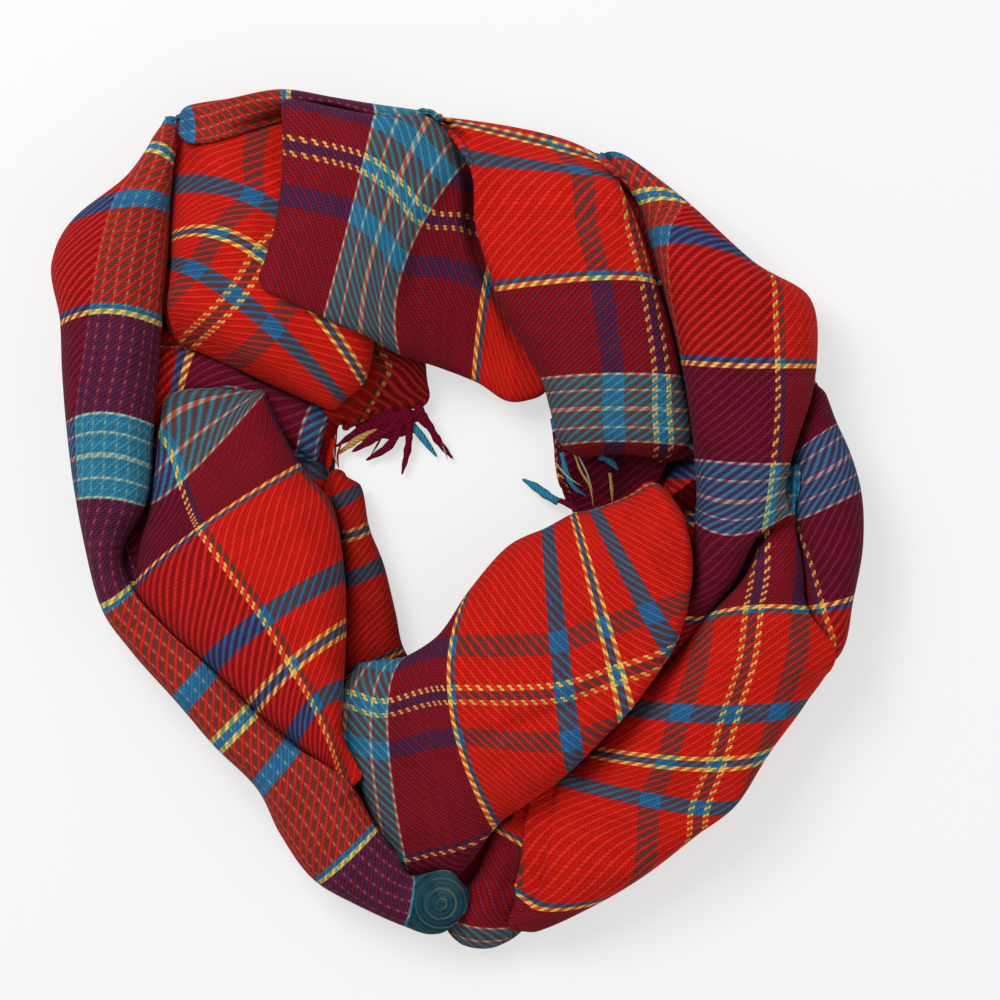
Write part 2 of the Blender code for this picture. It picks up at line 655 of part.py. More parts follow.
def make_core(collection):
    rings = closed_curve(CORE_ROWS, CORE_STATIONS)
    points = []
    for inner_x, inner_y, outer_x, outer_y in rings:
        inner = np.array([inner_x, inner_y])
        outer = np.array([outer_x, outer_y])
        width = np.linalg.norm(outer - inner)
        outward = (outer - inner) / width
        for distance, height in core_profile(width):
            points.append((*(inner + outward * distance), height))
    across = len(points) // CORE_STATIONS
    faces = []
    for i in range(CORE_STATIONS):
        for j in range(across):
            here = i * across
            following = (i + 1) % CORE_STATIONS * across
            beside = (j + 1) % across
            faces += two_triangles(points, here + j, following + j, following + beside, here + beside)
    return make_object("heap_core", points, faces, "maroon", collection)


def settle_core(core, upper):
    """Lower the top of the hidden layers until it carries every stretch and touches none."""
    vertices = core.data.vertices
    raised = {vertex.index for vertex in vertices if vertex.co.z > LOWEST_CORE * MM}
    for k in raised:
        place = vertices[k].co / MM
        height = max(min(place.z, ceiling_height(place.x, place.y, upper)), LOWEST_CORE)
        vertices[k].co.z = height * MM
    for _ in range(CORE_SETTLE_STEPS):
        core.data.update()
        tree, faces = wall_tree(core, SETTLE_GAP)
        touching = set()
        for other in upper:
            for index, _ in tree.overlap(other):
                touching.update(k for k in faces[index] if k in raised)
        if not touching:
            return
        for k in touching:
            vertices[k].co.z = max(vertices[k].co.z - SETTLE_STEP * MM, LOWEST_CORE * MM)
    print("still touching: heap_core", len(touching))


def build():
    for old in list(bpy.data.objects):
        bpy.data.objects.remove(old, do_unlink=True)
    collection = bpy.data.collections.new(OBJECT_NAME)
    bpy.context.scene.collection.children.link(collection)
    tables = {**STRETCHES, **FRINGES}
    bare = {}
    for name, table in tables.items():
        bare[name] = BVHTree.FromPolygons(*stretch_surface(table, [], []))
    walls = dict(bare)
    for name, over in LIES_UNDER.items():
        lower = [bare[other] for other in LIES_UNDER if name in LIES_UNDER[other]]
        upper = [walls[other] for other in over]
        wall = CLOTH_WALL if name in STRETCHES else FRINGE_WALL
        piece = make_stretch(name, tables[name], wall, lower, upper, collection)
        settle(piece, upper, wall + LOWEST_WALL)
        walls[name] = wall_tree(piece)[0]
    core = make_core(collection)
    settle_core(core, list(walls.values()))


build()
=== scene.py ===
import math
import bpy
import numpy as np
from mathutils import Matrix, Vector, noise
from mathutils.bvhtree import BVHTree


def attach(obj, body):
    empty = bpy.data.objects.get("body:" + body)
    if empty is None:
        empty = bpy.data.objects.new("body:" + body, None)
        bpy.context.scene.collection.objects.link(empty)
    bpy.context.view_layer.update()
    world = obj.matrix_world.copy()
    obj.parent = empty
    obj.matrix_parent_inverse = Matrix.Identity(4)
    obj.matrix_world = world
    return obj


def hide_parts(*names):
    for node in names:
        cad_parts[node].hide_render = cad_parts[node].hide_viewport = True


# A plaid twill scarf lying as a loose wreath. Tables are in millimetres, meshes in metres.
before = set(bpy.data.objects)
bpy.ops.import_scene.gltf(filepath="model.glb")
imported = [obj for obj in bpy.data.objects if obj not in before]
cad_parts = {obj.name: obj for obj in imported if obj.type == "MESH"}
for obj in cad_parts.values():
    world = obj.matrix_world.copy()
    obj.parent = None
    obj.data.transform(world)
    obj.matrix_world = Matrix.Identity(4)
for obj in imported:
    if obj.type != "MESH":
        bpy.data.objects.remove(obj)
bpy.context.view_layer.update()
bpy.ops.object.select_all(action="DESELECT")
print("frame loaded:", len(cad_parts), "nodes")

mm = 0.001
bodyName = "root"


def roll(radius):
    return ("roll", radius)  # an edge that shows and turns under


def reach(distance):
    return ("reach", distance)  # an edge that runs on under its neighbour


cloth = {
    "thickness": 1.6,       # of the cloth, with its nap
    "step": 1.4,            # between grid points
    "sectionPoints": 61,    # across the crown, before they are evened out
    "edgePoints": 8,        # round a turned edge or along a hidden margin
    "wholeSections": 80,    # percent of the sections in which no grid point is wider than the step
    "clearance": 0.45,      # between one stretch and the one that lies on it
    "lowest": 4.0,          # outer face where it comes nearest the floor
    "floorGap": 0.6,        # left between the floor and the inner face
    "turnUnder": 80,        # degrees that a rolled edge turns
    "tightestRoll": 2.0,
    "leastRadius": 1.0,
    "widestRoll": 0.35,     # in widths of the stretch
    "leastRoll": 0.12,      # of its radius that a rolled edge keeps round a rolled end
    "rollSpread": 0.02,     # how far each point of a turned edge stands out past the last
    "rollSettle": 0.05,     # and sinks below it, on a rolled end
    "endTurn": (4, 90, 6),  # degrees: first, last and least step round a rolled end
    "leastRowStep": 3.0,
    "reachDip": 0.3,
    "endReach": 0.08,       # how much of a hidden margin is left at a rolled end
    "reachTaper": 30,       # mm from a rolled end over which it grows to its whole
    "cornerRounding": 1.8,  # corner radius at a rolled end, in radii of the roll
    "mostRounding": 0.45,   # of the way to the crown
    "pressSpread": 5.0,     # how far the press of an upper stretch is felt
    "pressSoftness": 2.2,   # the larger, the steeper its slope
    "undulation": 0.8,      # height of the small unevenness of lying cloth
    "undulationLength": 38,
    "undulationSeed": 7.3,
    "finerUndulation": (3.1, 0.35),  # how much shorter and lower the second unevenness is
    "creaseEnds": 0.25,     # of a crease's depth, left at its ends
    "raysFrom": {"up": -10, "down": 200},  # heights from which the heap is measured
}
pressCells = max(1, round(cloth["pressSpread"] / cloth["step"]))
stretches = {}


def lay(name, power, a, b, start, end, rows):
    # how round its section is, what its sides and its ends do, and its rows
    stretches[name] = {"power": power, "a": a, "b": b, "start": start, "end": end, "rows": rows}


# Rows: v, aX, aY, aZ, crownX, crownY, crownZ, bX, bY, bZ, u, where v counts along the warp
# threads and u across them, both from the middle of a yellow-blue-yellow line of the plaid.
lay("left_roll", 2.5, roll(13), roll(4), roll(6), roll(6), [
    (-30, -150,  194, 16, -143,  200, 26, -136,  197, 16, 161),
    (  0, -154,  184, 18, -146,  183, 38, -140,  178, 22, 160),
    ( 12, -164,  170, 20, -152,  171, 43, -141,  166, 23, 158),
    ( 25, -190,  149, 20, -163,  157, 48, -142,  155, 24, 154),
    ( 50, -201,  128, 20, -170,  134, 52, -143,  131, 25, 153),
    ( 76, -197,   98, 20, -172,  104, 53, -146,   98, 25, 156),
    ( 98, -196,   74, 20, -173,   78, 53, -148,   73, 25, 159),
    (120, -194,   48, 20, -173,   53, 53, -150,   47, 25, 164),
    (157, -189,    9, 20, -171,   10, 52, -154,    6, 26, 169),
    (178, -184,  -16, 20, -176,  -15, 47, -165,  -14, 26, 171),
    (201, -176,  -45, 20, -168,  -41, 46, -160,  -34, 30, 174),
    (225, -162,  -65, 20, -153,  -60, 46, -143,  -54, 32, 172),
    (252, -138,  -92, 20, -130,  -83, 47, -122,  -73, 34, 171),
    (277, -120, -113, 20, -111, -104, 48, -101,  -94, 35, 171),
    (302,  -99, -134, 20,  -90, -123, 48,  -81, -111, 35, 171),
    (327,  -88, -156, 20,  -73, -142, 47,  -56, -127, 32, 171),
    (354,  -70, -180, 18,  -55, -167, 44,  -40, -152, 28, 171),
    (375,  -53, -190, 17,  -40, -181, 39,  -29, -167, 25, 171),
    (397,  -27, -202, 16,  -23, -189, 35,  -22, -176, 23, 171),
    (415,  -11, -206, 17,   -7, -188, 37,   -6, -173, 23, 171),
    (430,    3, -200, 20,    6, -188, 32,    4, -177, 22, 171),
])
lay("inner_left", 2.5, reach(9), roll(9), roll(8), reach(6), [
    (133, -149,   45, 14, -140,   63, 24,  -97,   65, 18, 272),
    (145, -150,   25, 20, -134,   44, 38,  -96,   64, 26, 262),
    (157, -152,    7, 24, -131,   22, 46,  -95,   62, 28, 257),
    (178, -157,  -13, 26, -129,    4, 52,  -86,   42, 28, 252),
    (201, -159,  -33, 28, -125,   -4, 55,  -77,   26, 26, 252),
    (225, -144,  -54, 30, -110,  -25, 57,  -62,    7, 26, 252),
    (252, -123,  -72, 32,  -94,  -47, 58,  -56,  -25, 26, 252),
    (277, -101,  -93, 33,  -80,  -71, 57,  -55,  -53, 27, 252),
    (302,  -82, -109, 34,  -69,  -90, 54,  -56,  -84, 28, 252),
    (327,  -66, -123, 33,  -60, -113, 46,  -56, -108, 30, 252),
    (345,  -62, -128, 30,  -56, -126, 38,  -50, -120, 28, 252),
])
lay("upper_left", 2.6, reach(8), roll(3), reach(4), roll(6), [
    (-76, -138,  198, 12, -106,  201, 22,  -72,  201, 20, -38),
    (-64, -138,  192, 12, -106,  193, 30,  -64,  190, 24, -33),
    (-45, -141,  183, 14, -103,  178, 40,  -44,  152, 26, -27),
    (-25, -142,  166, 17,  -91,  154, 48,  -40,  110, 25, -14),
    (  0, -142,  139, 21,  -96,  130, 50,  -46,   68, 20,   0),
    ( 25, -142,  126, 23, -109,  110, 48,  -56,   59, 18,   0),
    ( 50, -143,  104, 25, -125,   94, 42,  -63,   54, 17,   0),
    ( 74, -144,   88, 20, -122,   80, 30,  -72,   57, 15,  14),
])
lay("top_edge", 2.4, roll(12), reach(4), roll(5), roll(3), [
    ( 22, -141,  204, 14, -139,  197, 28, -138,  186, 18, 171),
    ( 37, -125,  207, 16, -122,  200, 36, -122,  188, 22, 171),
    ( 50, -115,  208, 17, -113,  203, 39, -113,  192, 24, 171),
    ( 74,  -87,  213, 18,  -87,  208, 40,  -86,  201, 26, 171),
    ( 99,  -61,  209, 18,  -61,  206, 38,  -61,  203, 26, 171),
    (120,  -42,  206, 18,  -41,  201, 38,  -40,  196, 28, 171),
    (139,  -20,  203, 17,  -18,  197, 36,  -17,  188, 28, 171),
    (150,  -10,  202, 16,   -8,  195, 32,   -5,  186, 27, 171),
])
lay("top_flap", 2.8, roll(5), roll(3), roll(3), roll(4), [
    ( 82,  -98,  114, 38,  -87,  160, 50,  -87,  208, 36, -24),
    ( 99,  -83,  107, 38,  -69,  156, 58,  -62,  203, 39, -24),
    (120,  -66,   99, 38,  -52,  151, 60,  -41,  199, 40, -24),
    (139,  -47,   91, 34,  -38,  140, 58,  -13,  198, 35, -24),
    (157,  -28,   81, 30,  -25,  126, 54,    6,  178, 35, -24),
    (178,   -9,   75, 22,   -5,  124, 40,   12,  158, 29, -24),
    (201,    9,   68, 20,   15,  117, 32,   22,  138, 24, -24),
    (222,   28,   58, 18,   31,   95, 28,   38,  112, 20, -24),
    (240,   46,   62, 16,   48,   84, 22,   52,   98, 16, -24),
])
lay("top_right", 2.6, roll(5), reach(15), roll(5), roll(8), [
    ( -8,  -20,  202, 13,   42,  192, 20,   76,  178, 18, -24),
    (  0,  -13,  199, 17,   50,  184, 30,   77,  175, 21, -24),
    ( 12,   -2,  189, 23,   56,  177, 37,   78,  172, 22, -24),
    ( 25,    4,  178, 28,   60,  172, 42,   79,  169, 24, -24),
    ( 50,    9,  144, 32,   64,  144, 50,   91,  142, 26, -24),
    ( 76,   18,  115, 33,   70,  120, 53,   98,  118, 28, -24),
    ( 98,   28,   92, 32,   74,   95, 54,  105,   96, 28, -24),
    (120,   41,   70, 30,   77,   72, 53,  111,   71, 28, -24),
    (139,   46,   53, 28,   77,   54, 50,  115,   53, 28, -24),
    (157,   50,   36, 26,   78,   38, 44,  116,   36, 28, -24),
    (166,   53,   28, 24,   78,   32, 36,  112,   28, 26, -24),
])
lay("right_roll", 2.5, roll(7), roll(10), roll(4), reach(8), [
    (-24,   68,  181, 16,   80,  182, 23,   91,  175, 15, 183),
    (  0,   88,  158, 26,  102,  160, 44,  115,  156, 20, 186),
    ( 25,   95,  138, 30,  117,  139, 52,  147,  127, 20, 208),
    ( 50,  103,  108, 32,  136,  107, 58,  175,  109, 20, 230),
    ( 76,  110,   79, 32,  138,   77, 60,  178,   77, 20, 231),
    ( 98,  114,   54, 32,  139,   52, 60,  174,   59, 26, 232),
    (120,  117,   30, 32,  140,   28, 60,  164,   28, 34, 235),
    (139,  118,   12, 32,  139,    8, 60,  161,   14, 36, 236),
    (157,  117,   -2, 31,  137,   -8, 58,  162,    2, 38, 236),
    (167,  116,  -15, 30,  132,  -19, 55,  149,   -6, 38, 230),
    (178,  115,  -28, 30,  127,  -31, 52,  139,  -27, 38, 224),
    (201,  103,  -47, 28,  114,  -50, 42,  122,  -49, 37, 217),
    (225,   86,  -66, 26,   96,  -70, 36,  103,  -71, 31, 215),
    (250,   66,  -82, 24,   75,  -87, 30,   83,  -90, 26, 212),
])
lay("right_broad", 2.5, reach(12), roll(12), reach(8), roll(5), [
    (142,  148,   17, 32,  156,   18, 40,  167,   19, 28,  14),
    (158,  149,    0, 34,  157,    0, 48,  166,    1, 30,  10),
    (178,  142,  -27, 36,  150,  -26, 54,  170,  -23, 30,   2),
    (201,  123,  -48, 36,  145,  -44, 56,  173,  -45, 30,   0),
    (225,  104,  -72, 32,  142,  -68, 56,  186,  -66, 24,   0),
    (252,   84,  -92, 28,  134,  -95, 54,  172,  -92, 20,   0),
    (277,   66, -115, 26,  127, -120, 52,  156, -113, 20,   0),
    (302,   51, -128, 26,  119, -142, 46,  138, -137, 20,   0),
    (327,   46, -148, 24,   94, -158, 46,  116, -158, 20, -24),
    (354,   37, -190, 20,   51, -192, 36,   75, -188, 16, -62),
    (372,   24, -203, 14,   37, -205, 24,   48, -202, 12, -70),
])
lay("right_edge", 2.5, reach(12), roll(12), roll(4), roll(3), [
    ( 78,  171,   61, 16,  176,   67, 25,  181,   68, 17, 118),
    ( 98,  167,   48, 20,  177,   54, 38,  185,   56, 18, 118),
    (120,  164,   31, 22,  175,   40, 42,  188,   48, 20, 118),
    (139,  164,   15, 26,  179,   22, 47,  195,   32, 20, 114),
    (157,  165,   -2, 28,  181,    5, 50,  200,   14, 20, 112),
    (178,  169,  -21, 30,  185,  -18, 50,  201,  -11, 20, 106),
    (201,  173,  -45, 32,  184,  -43, 48,  196,  -40, 20,  97),
    (225,  177,  -66, 30,  184,  -66, 40,  190,  -66, 20,  92),
    (240,  168,  -74, 24,  174,  -78, 29,  179,  -79, 20,  90),
])
lay("bottom_flap", 2.6, roll(11), roll(7), reach(10), roll(8), [
    (139,  -42,  -70, 22,  -54,  -91, 36,  -55, -120, 18,   2),
    (157,  -21,  -66, 24,  -34,  -96, 44,  -23, -180,  9,   3),
    (178,   -9,  -57, 26,  -17,  -92, 54,   -2, -178, 10,   4),
    (201,    5,  -36, 28,   -2,  -90, 60,   20, -151, 24,   4),
    (225,   24,  -14, 30,   24,  -89, 63,   36, -139, 33,   3),
    (252,   44,   -4, 32,   52,  -85, 64,   58, -122, 38,   1),
    (277,   57,    3, 33,   78,  -76, 62,   82,  -95, 42,   0),
    (302,   67,    5, 34,   95,  -46, 62,  107,  -62, 42, -24),
    (327,   86,   13, 36,  106,  -20, 60,  115,  -32, 42, -47),
    (345,   97,   24, 34,  109,    6, 54,  116,   -4, 40, -72),
])
lay("inner_strip", 2.4, reach(10), roll(9), roll(6), reach(8), [
    (-45,  -68,   20,  8,  -61,   25, 12,  -53,   22,  8,  59),
    (-25,  -62,    8, 11,  -55,   11, 18,  -48,   16, 10,  59),
    (  0,  -58,   -9, 13,  -50,   -7, 22,  -44,   -4, 11,  59),
    ( 25,  -57,  -31, 13,  -46,  -27, 24,  -37,  -22, 11,  59),
    ( 50,  -58,  -53, 13,  -44,  -48, 24,  -31,  -46, 11,  59),
    ( 76,  -59,  -78, 13,  -44,  -72, 22,  -27,  -64, 11,  59),
    ( 90,  -60,  -92, 11,  -43,  -86, 18,  -22,  -73,  9,  59),
])
lay("bottom_tuck", 2.4, reach(8), reach(8), reach(6), roll(8), [
    (235,   28, -136, 26,   41, -136, 36,   51, -133, 28,  66),
    (222,   26, -147, 26,   37, -148, 36,   50, -148, 28,  64),
    (201,   18, -152, 24,   29, -158, 34,   44, -168, 26,  60),
    (178,    9, -176, 18,   23, -178, 30,   41, -183, 22,  60),
    (157,   -4, -198, 14,   11, -202, 26,   30, -202, 16,  60),
    (140,   -7, -210, 12,   11, -214, 18,   28, -212, 12,  60),
])
lay("end_one", 2.4, reach(6), roll(4), reach(8), roll(3), [
    (241,  -64,   60, 10,  -42,   82, 20,  -16,   79, 12,  88),
    (229,  -60,   50, 10,  -38,   70, 20,  -15,   68, 11,  89),
    (218,  -56,   48,  9,  -40,   60, 16,  -14,   63, 10,  94),
    (204,  -59,   43,  9,  -37,   52, 12,  -14,   56,  9, 104),
])
lay("middle_ply", 2.2, reach(8), reach(8), reach(6), roll(3), [
    ( 70, -146,   87, 14, -148,   66, 24, -149,   44, 12, 114),
    ( 84, -121,   82, 16, -126,   72, 25, -131,   60, 14, 114),
    (102,  -98,   68, 16, -100,   62, 25, -103,   53, 14, 114),
    (116,  -78,   60, 16,  -82,   50, 23,  -85,   38, 14, 114),
    (130,  -60,   56, 14,  -66,   44, 20,  -70,   28, 12, 114),
])
lay("end_two", 2.4, roll(3), reach(6), reach(8), reach(6), [
    (158,   47,   42, 20,   75,   46, 19,   99,   38, 20, 118),
    (172,   49,   28, 18,   74,   28, 14,   97,   27, 18, 118),
    (187,   53,   14, 14,   73,   11,  9,   90,   14, 14, 118),
    (198,   58,    4, 10,   70,    0,  8,   82,    2, 10, 118),
])

# creases laid one by one: x0, y0, x1, y1, depth (a ridge has less than 0), half width
creases = {
    "left_roll": [
        (-183, 152, -145, 175, 1.6, 6), (-165, 152, -142, 162, -1.5, 6),
        (-151, 145, -155, 20, 2.0, 5), (-197, 98, -160, 104, 0.8, 6), (-186, -12, -164, -6, 1.2, 5),
        (-168, -20, -152, -60, 1.5, 4), (-152, -58, -122, -95, 1.6, 4),
        (-108, -125, -82, -150, -1.0, 5), (-76, -162, -42, -186, 1.3, 5),
        (-190, 66, -176, 24, 0.7, 5)],
    "inner_left": [
        (-151, 5, -122, -42, 1.5, 6), (-136, 42, -112, 6, 1.2, 5), (-120, 8, -92, -42, -1.2, 9),
        (-102, -60, -76, -96, 1.2, 6), (-92, 60, -72, 24, 1.4, 3.5), (-71, 0, -58, -42, 1.0, 4),
        (-140, -20, -128, -52, 1.0, 4)],
    "upper_left": [
        (-141, 198, -130, 160, 9.0, 8), (-132, 166, -84, 190, -2.0, 8),
        (-141, 128, -95, 119, 1.4, 5), (-95, 119, -60, 84, 1.3, 5), (-141, 111, -90, 94, -1.2, 7),
        (-132, 92, -64, 56, 1.8, 5), (-80, 152, -64, 108, 1.2, 6), (-128, 150, -96, 148, 1.0, 4)],
    "top_edge": [(-120, 206, -92, 196, 1.0, 4), (-80, 206, -52, 203, 0.8, 3)],
    "top_flap": [
        (-34, 193, -44, 130, -2.6, 9), (-44, 130, -49, 96, -2.2, 8), (1, 170, -18, 136, 5.0, 7),
        (-18, 138, -24, 102, 4.2, 6), (-12, 116, 14, 98, -2.2, 9), (-79, 168, -58, 124, 1.2, 6),
        (-84, 190, -66, 120, -0.8, 6), (-6, 101, 22, 74, 1.6, 5), (-30, 196, -12, 186, 1.0, 5)],
    "top_right": [
        (19, 110, 43, 60, 2.4, 6), (28, 104, 34, 68, -1.2, 5), (48, 182, 80, 58, -1.4, 13),
        (58, 187, 76, 164, 1.0, 5), (44, 75, 78, 88, 1.0, 6), (14, 170, 26, 140, 0.7, 6)],
    "right_roll": [
        (94, 152, 122, 141, 1.2, 6), (138, 140, 168, 122, 1.3, 5), (124, 100, 172, 94, 0.8, 8),
        (141, 28, 120, -22, 2.0, 6), (160, 26, 148, -12, -1.5, 6), (166, 62, 172, 38, 1.0, 4),
        (112, 60, 118, 14, 1.0, 5)],
    "right_broad": [
        (124, -50, 92, -88, 3.0, 7), (92, -88, 52, -136, 2.6, 7), (142, -50, 110, -122, -1.4, 14),
        (169, -18, 172, -60, 2.6, 5), (172, -58, 184, -76, 1.4, 5), (118, -112, 99, -166, 1.0, 7),
        (62, -132, 46, -160, 1.4, 5), (152, -90, 126, -130, 0.8, 8)],
    "right_edge": [(186, 42, 190, 4, 1.0, 5), (178, -20, 185, -62, 1.2, 4)],
    "bottom_flap": [
        (-2, -113, 70, -86, 2.4, 5), (6, -103, 66, -79, -1.2, 7), (16, -126, 32, -108, 1.2, 4),
        (-30, -88, -30, -160, 1.3, 5), (84, 8, 108, -22, -1.8, 6), (58, 3, 76, -42, 1.0, 4),
        (21, -20, 6, -62, 1.0, 5), (86, -62, 50, -102, 1.4, 5), (45, -8, 58, -50, -0.8, 5),
        (-12, -70, 12, -64, 0.9, 5)],
    "inner_strip": [
        (-52, 20, -44, -18, -1.0, 5), (-56, -20, -38, -28, 0.8, 4), (-50, -44, -32, -60, 1.0, 4)],
    "bottom_tuck": [(42, -138, 16, -202, -1.4, 6), (31, -142, 6, -192, 1.5, 4)],
    "middle_ply": [(-132, 78, -80, 50, 1.6, 5), (-142, 62, -100, 50, 1.2, 4)],
    "end_one": [
        (-52, 76, -48, 46, -1.0, 5), (-36, 81, -38, 47, 1.5, 4), (-22, 78, -20, 52, 1.0, 4)],
    "end_two": [(60, 36, 64, 8, 1.6, 3), (72, 40, 74, 6, -1.6, 3), (80, 38, 82, 8, 1.6, 3)],
}

# at its lower end left_roll shows its coil, where the threads run round; the coil is darkened,
# painted shade
coil = {
    "middle": (-8, -189.5),
    "radius": 16.5,
    "startsAt": 397.3,      # along the warp
    "crownU": 171,
    "threadPitch": 2.0,
    "firstThread": 0.4,
    "threadsRound": 4,      # that are crossed on the way round
    # painted shade: how much of its colour the coil keeps
    "shade": 0.27,
}
# painted shade: how much of its colour each stretch deep in the heap keeps
paintedDeepShade = {"end_one": 0.5, "inner_strip": 0.58}

# bottom_flap's lower end is gathered: from one v to another, more cloth to the same way
gathered = {"bottom_flap": {"share": 0.18, "fromRow": 250, "toRow": 205}}

# what lies over each stretch, from the top of the heap down
liesUnder = {
    "left_roll": [],
    "top_flap": ["top_right"],
    "top_edge": ["left_roll", "top_flap"],
    "upper_left": ["left_roll", "top_edge", "top_flap"],
    "inner_left": ["left_roll", "upper_left"],
    "bottom_flap": ["left_roll", "inner_left"],
    "right_roll": ["bottom_flap"],
    "right_broad": ["bottom_flap", "right_roll"],
    "right_edge": ["right_roll", "right_broad"],
    "top_right": ["bottom_flap", "right_roll", "top_edge"],
    "end_one": ["top_flap", "upper_left"],
    "middle_ply": ["left_roll", "upper_left", "inner_left", "end_one"],
    "end_two": ["top_right", "bottom_flap", "right_roll"],
    "inner_strip": ["inner_left", "bottom_flap", "middle_ply"],
    "bottom_tuck": ["left_roll", "bottom_flap", "right_broad"],
}
# stretches whose plaid runs the other way across
turned = ["bottom_flap", "top_edge"]


def smooth(stations, values, places):
    # values on a smooth curve through the given ones
    gaps = np.diff(stations)
    slopes = np.diff(values, axis=0) / gaps[:, None]
    tangents = np.zeros_like(values)
    tangents[0], tangents[-1] = slopes[0], slopes[-1]
    before, after = gaps[:-1, None], gaps[1:, None]
    tangents[1:-1] = (slopes[:-1] * after + slopes[1:] * before) / (before + after)
    i = np.clip(np.searchsorted(stations, places) - 1, 0, len(stations) - 2)
    gap = gaps[i][:, None]
    s = ((places - stations[i]) / gaps[i])[:, None]
    return ((2 * s**3 - 3 * s**2 + 1) * values[i] + (s**3 - 2 * s**2 + s) * gap * tangents[i]
            + (3 * s**2 - 2 * s**3) * values[i + 1] + (s**3 - s**2) * gap * tangents[i + 1])


def alongRows(stretch):
    # sections at even steps, with the ends rolled or running on; returns rows, drops and shares
    table = np.array(stretch["rows"], float)
    ends = (stretch["start"], stretch["end"])
    middles = table[:, 1:10].reshape(-1, 3, 3).mean(axis=1)[:, :2]
    steps = np.linalg.norm(np.diff(middles, axis=0), axis=1)
    steps = np.maximum(steps, cloth["leastRowStep"])
    stations = np.concatenate([[0.0], np.cumsum(steps)])
    length = stations[-1]
    places, drops, past = [], [], []
    for isEnd, (kind, size) in enumerate(ends):
        if kind == "roll":
            first, last, least = cloth["endTurn"]
            turn = max(least, math.degrees(cloth["step"] / size))
            angles = np.radians(np.arange(first, last, turn))
            inset, drop = size * (1 - np.cos(angles)), size * (1 - np.sin(angles))
            run = size * (math.pi / 2 - angles)
        else:
            inset = -np.arange(size, 0, -cloth["step"])
            drop = -inset * cloth["reachDip"]
            run = -inset
        places.append(length - inset[::-1] if isEnd else inset)
        drops.append(drop[::-1] if isEnd else drop)
        past.append(run[::-1] if isEnd else run)
    first, last = (size if kind == "roll" else 0.0 for kind, size in ends)
    last = length - last
    count = int((last - first) / cloth["step"]) + 1
    allPlaces = np.concatenate([places[0], np.linspace(first, last, count), places[1]])
    rows = smooth(stations, table, np.clip(allPlaces, 0, length))
    firstStep = (table[0] - table[1]) / (stations[1] - stations[0])
    lastStep = (table[-1] - table[-2]) / (stations[-1] - stations[-2])
    under = np.maximum(-allPlaces, 0)[:, None]
    over = np.maximum(allPlaces - length, 0)[:, None]
    flat = np.ones(table.shape[1])
    flat[[3, 6, 9]] = 0.0  # heights don't run on
    rows = rows + (firstStep * under + lastStep * over) * flat
    # the cloth's own length goes on round the rolled ends
    way = math.copysign(1.0, table[-1, 0] - table[0, 0])
    n0, n1 = len(places[0]), len(places[1])
    rows[:n0, 0] = rows[n0, 0] - way * past[0]
    rows[len(rows) - n1:, 0] = rows[len(rows) - n1 - 1, 0] + way * past[1]
    drop = np.concatenate([drops[0], np.zeros(count), drops[1]])
    share = np.ones(len(rows))
    for (kind, size), away in zip(ends, (allPlaces, length - allPlaces)):
        if kind != "roll":
            continue
        # the side edges draw in at a rolled end, which rounds its corners
        radius = cloth["cornerRounding"] * size
        pull = radius - np.sqrt(radius**2 - np.clip(radius - away, 0, radius)**2)
        for edge in (slice(1, 3), slice(7, 9)):
            inward = rows[:, 4:6] - rows[:, edge]
            reachIn = np.maximum(np.linalg.norm(inward, axis=1), 1e-6)
            pulled = np.minimum(pull, cloth["mostRounding"] * reachIn)
            rows[:, edge] += inward * (pulled / reachIn)[:, None]
        # hidden margins grow from a short reach there to their whole reach further on
        grown = cloth["endReach"] + np.maximum(away, 0) / cloth["reachTaper"]
        share = np.minimum(share, grown)
    return rows, drop, share


def struck(x, y, trees, way):
    # heights at which a ray up or down through a place meets what lies there
    start = Vector((x, y, cloth["raysFrom"][way]))
    hits = (tree.ray_cast(start, Vector((0, 0, 1 if way == "up" else -1)))[0] for tree in trees)
    return [hit.z for hit in hits if hit is not None]


def highest(x, y, trees):
    # the top of what lies below a place
    tops = [z + cloth["thickness"] + cloth["clearance"] for z in struck(x, y, trees, "down")]
    return max([cloth["lowest"]] + tops)


def ceiling(points, trees):
    # the underside of what lies over each point of a grid
    return np.array([[min([np.inf] + [z - cloth["clearance"] for z in struck(x, y, trees, "up")])
                      for x, y, _ in line] for line in points])


def shifted(field, axis, combine):
    # combines a grid with itself moved by up to as far as a press is felt
    pad = [(0, 0), (0, 0)]
    pad[axis] = (pressCells, pressCells)
    wide = np.pad(field, pad, mode="edge")
    n = field.shape[axis]
    return combine([np.take(wide, range(k, k + n), axis=axis) for k in range(2 * pressCells + 1)])


def widest(parts):
    return np.max(parts, axis=0)


def softened(parts):
    away = np.arange(-pressCells, pressCells + 1) / (pressCells / cloth["pressSoftness"])
    weights = np.exp(-0.5 * away**2)
    return np.tensordot(weights / weights.sum(), np.array(parts), axes=1)


def pressed(need):
    # spreads the press of an upper stretch into a soft slope
    field = need
    for combine in (widest, softened):
        for axis in (0, 1):
            field = shifted(field, axis, combine)
    return np.maximum(field, need)


def unit(vector):
    return vector / max(np.linalg.norm(vector), 1e-6)


def turnedEdge(edge, out, radius, isDropped):
    # an edge that turns under, with its points spread a little so that none coincide
    count = np.arange(1, cloth["edgePoints"] + 1)
    turn = np.radians(np.linspace(0, cloth["turnUnder"], cloth["edgePoints"] + 1)[1:])
    inward = radius * (1 - np.cos(turn)) - cloth["rollSpread"] * count
    settle = cloth["rollSettle"] * count if isDropped else 0
    return np.column_stack([edge[:2] - out * inward[:, None],
                            edge[2] - radius * np.sin(turn) - settle])


def hiddenEdge(edge, out, distance):
    # an edge that runs on and dips
    far = distance * np.linspace(0, 1, cloth["edgePoints"] + 1)[1:]
    return np.column_stack([edge[:2] + out * far[:, None],
                            edge[2] - far * cloth["reachDip"]])


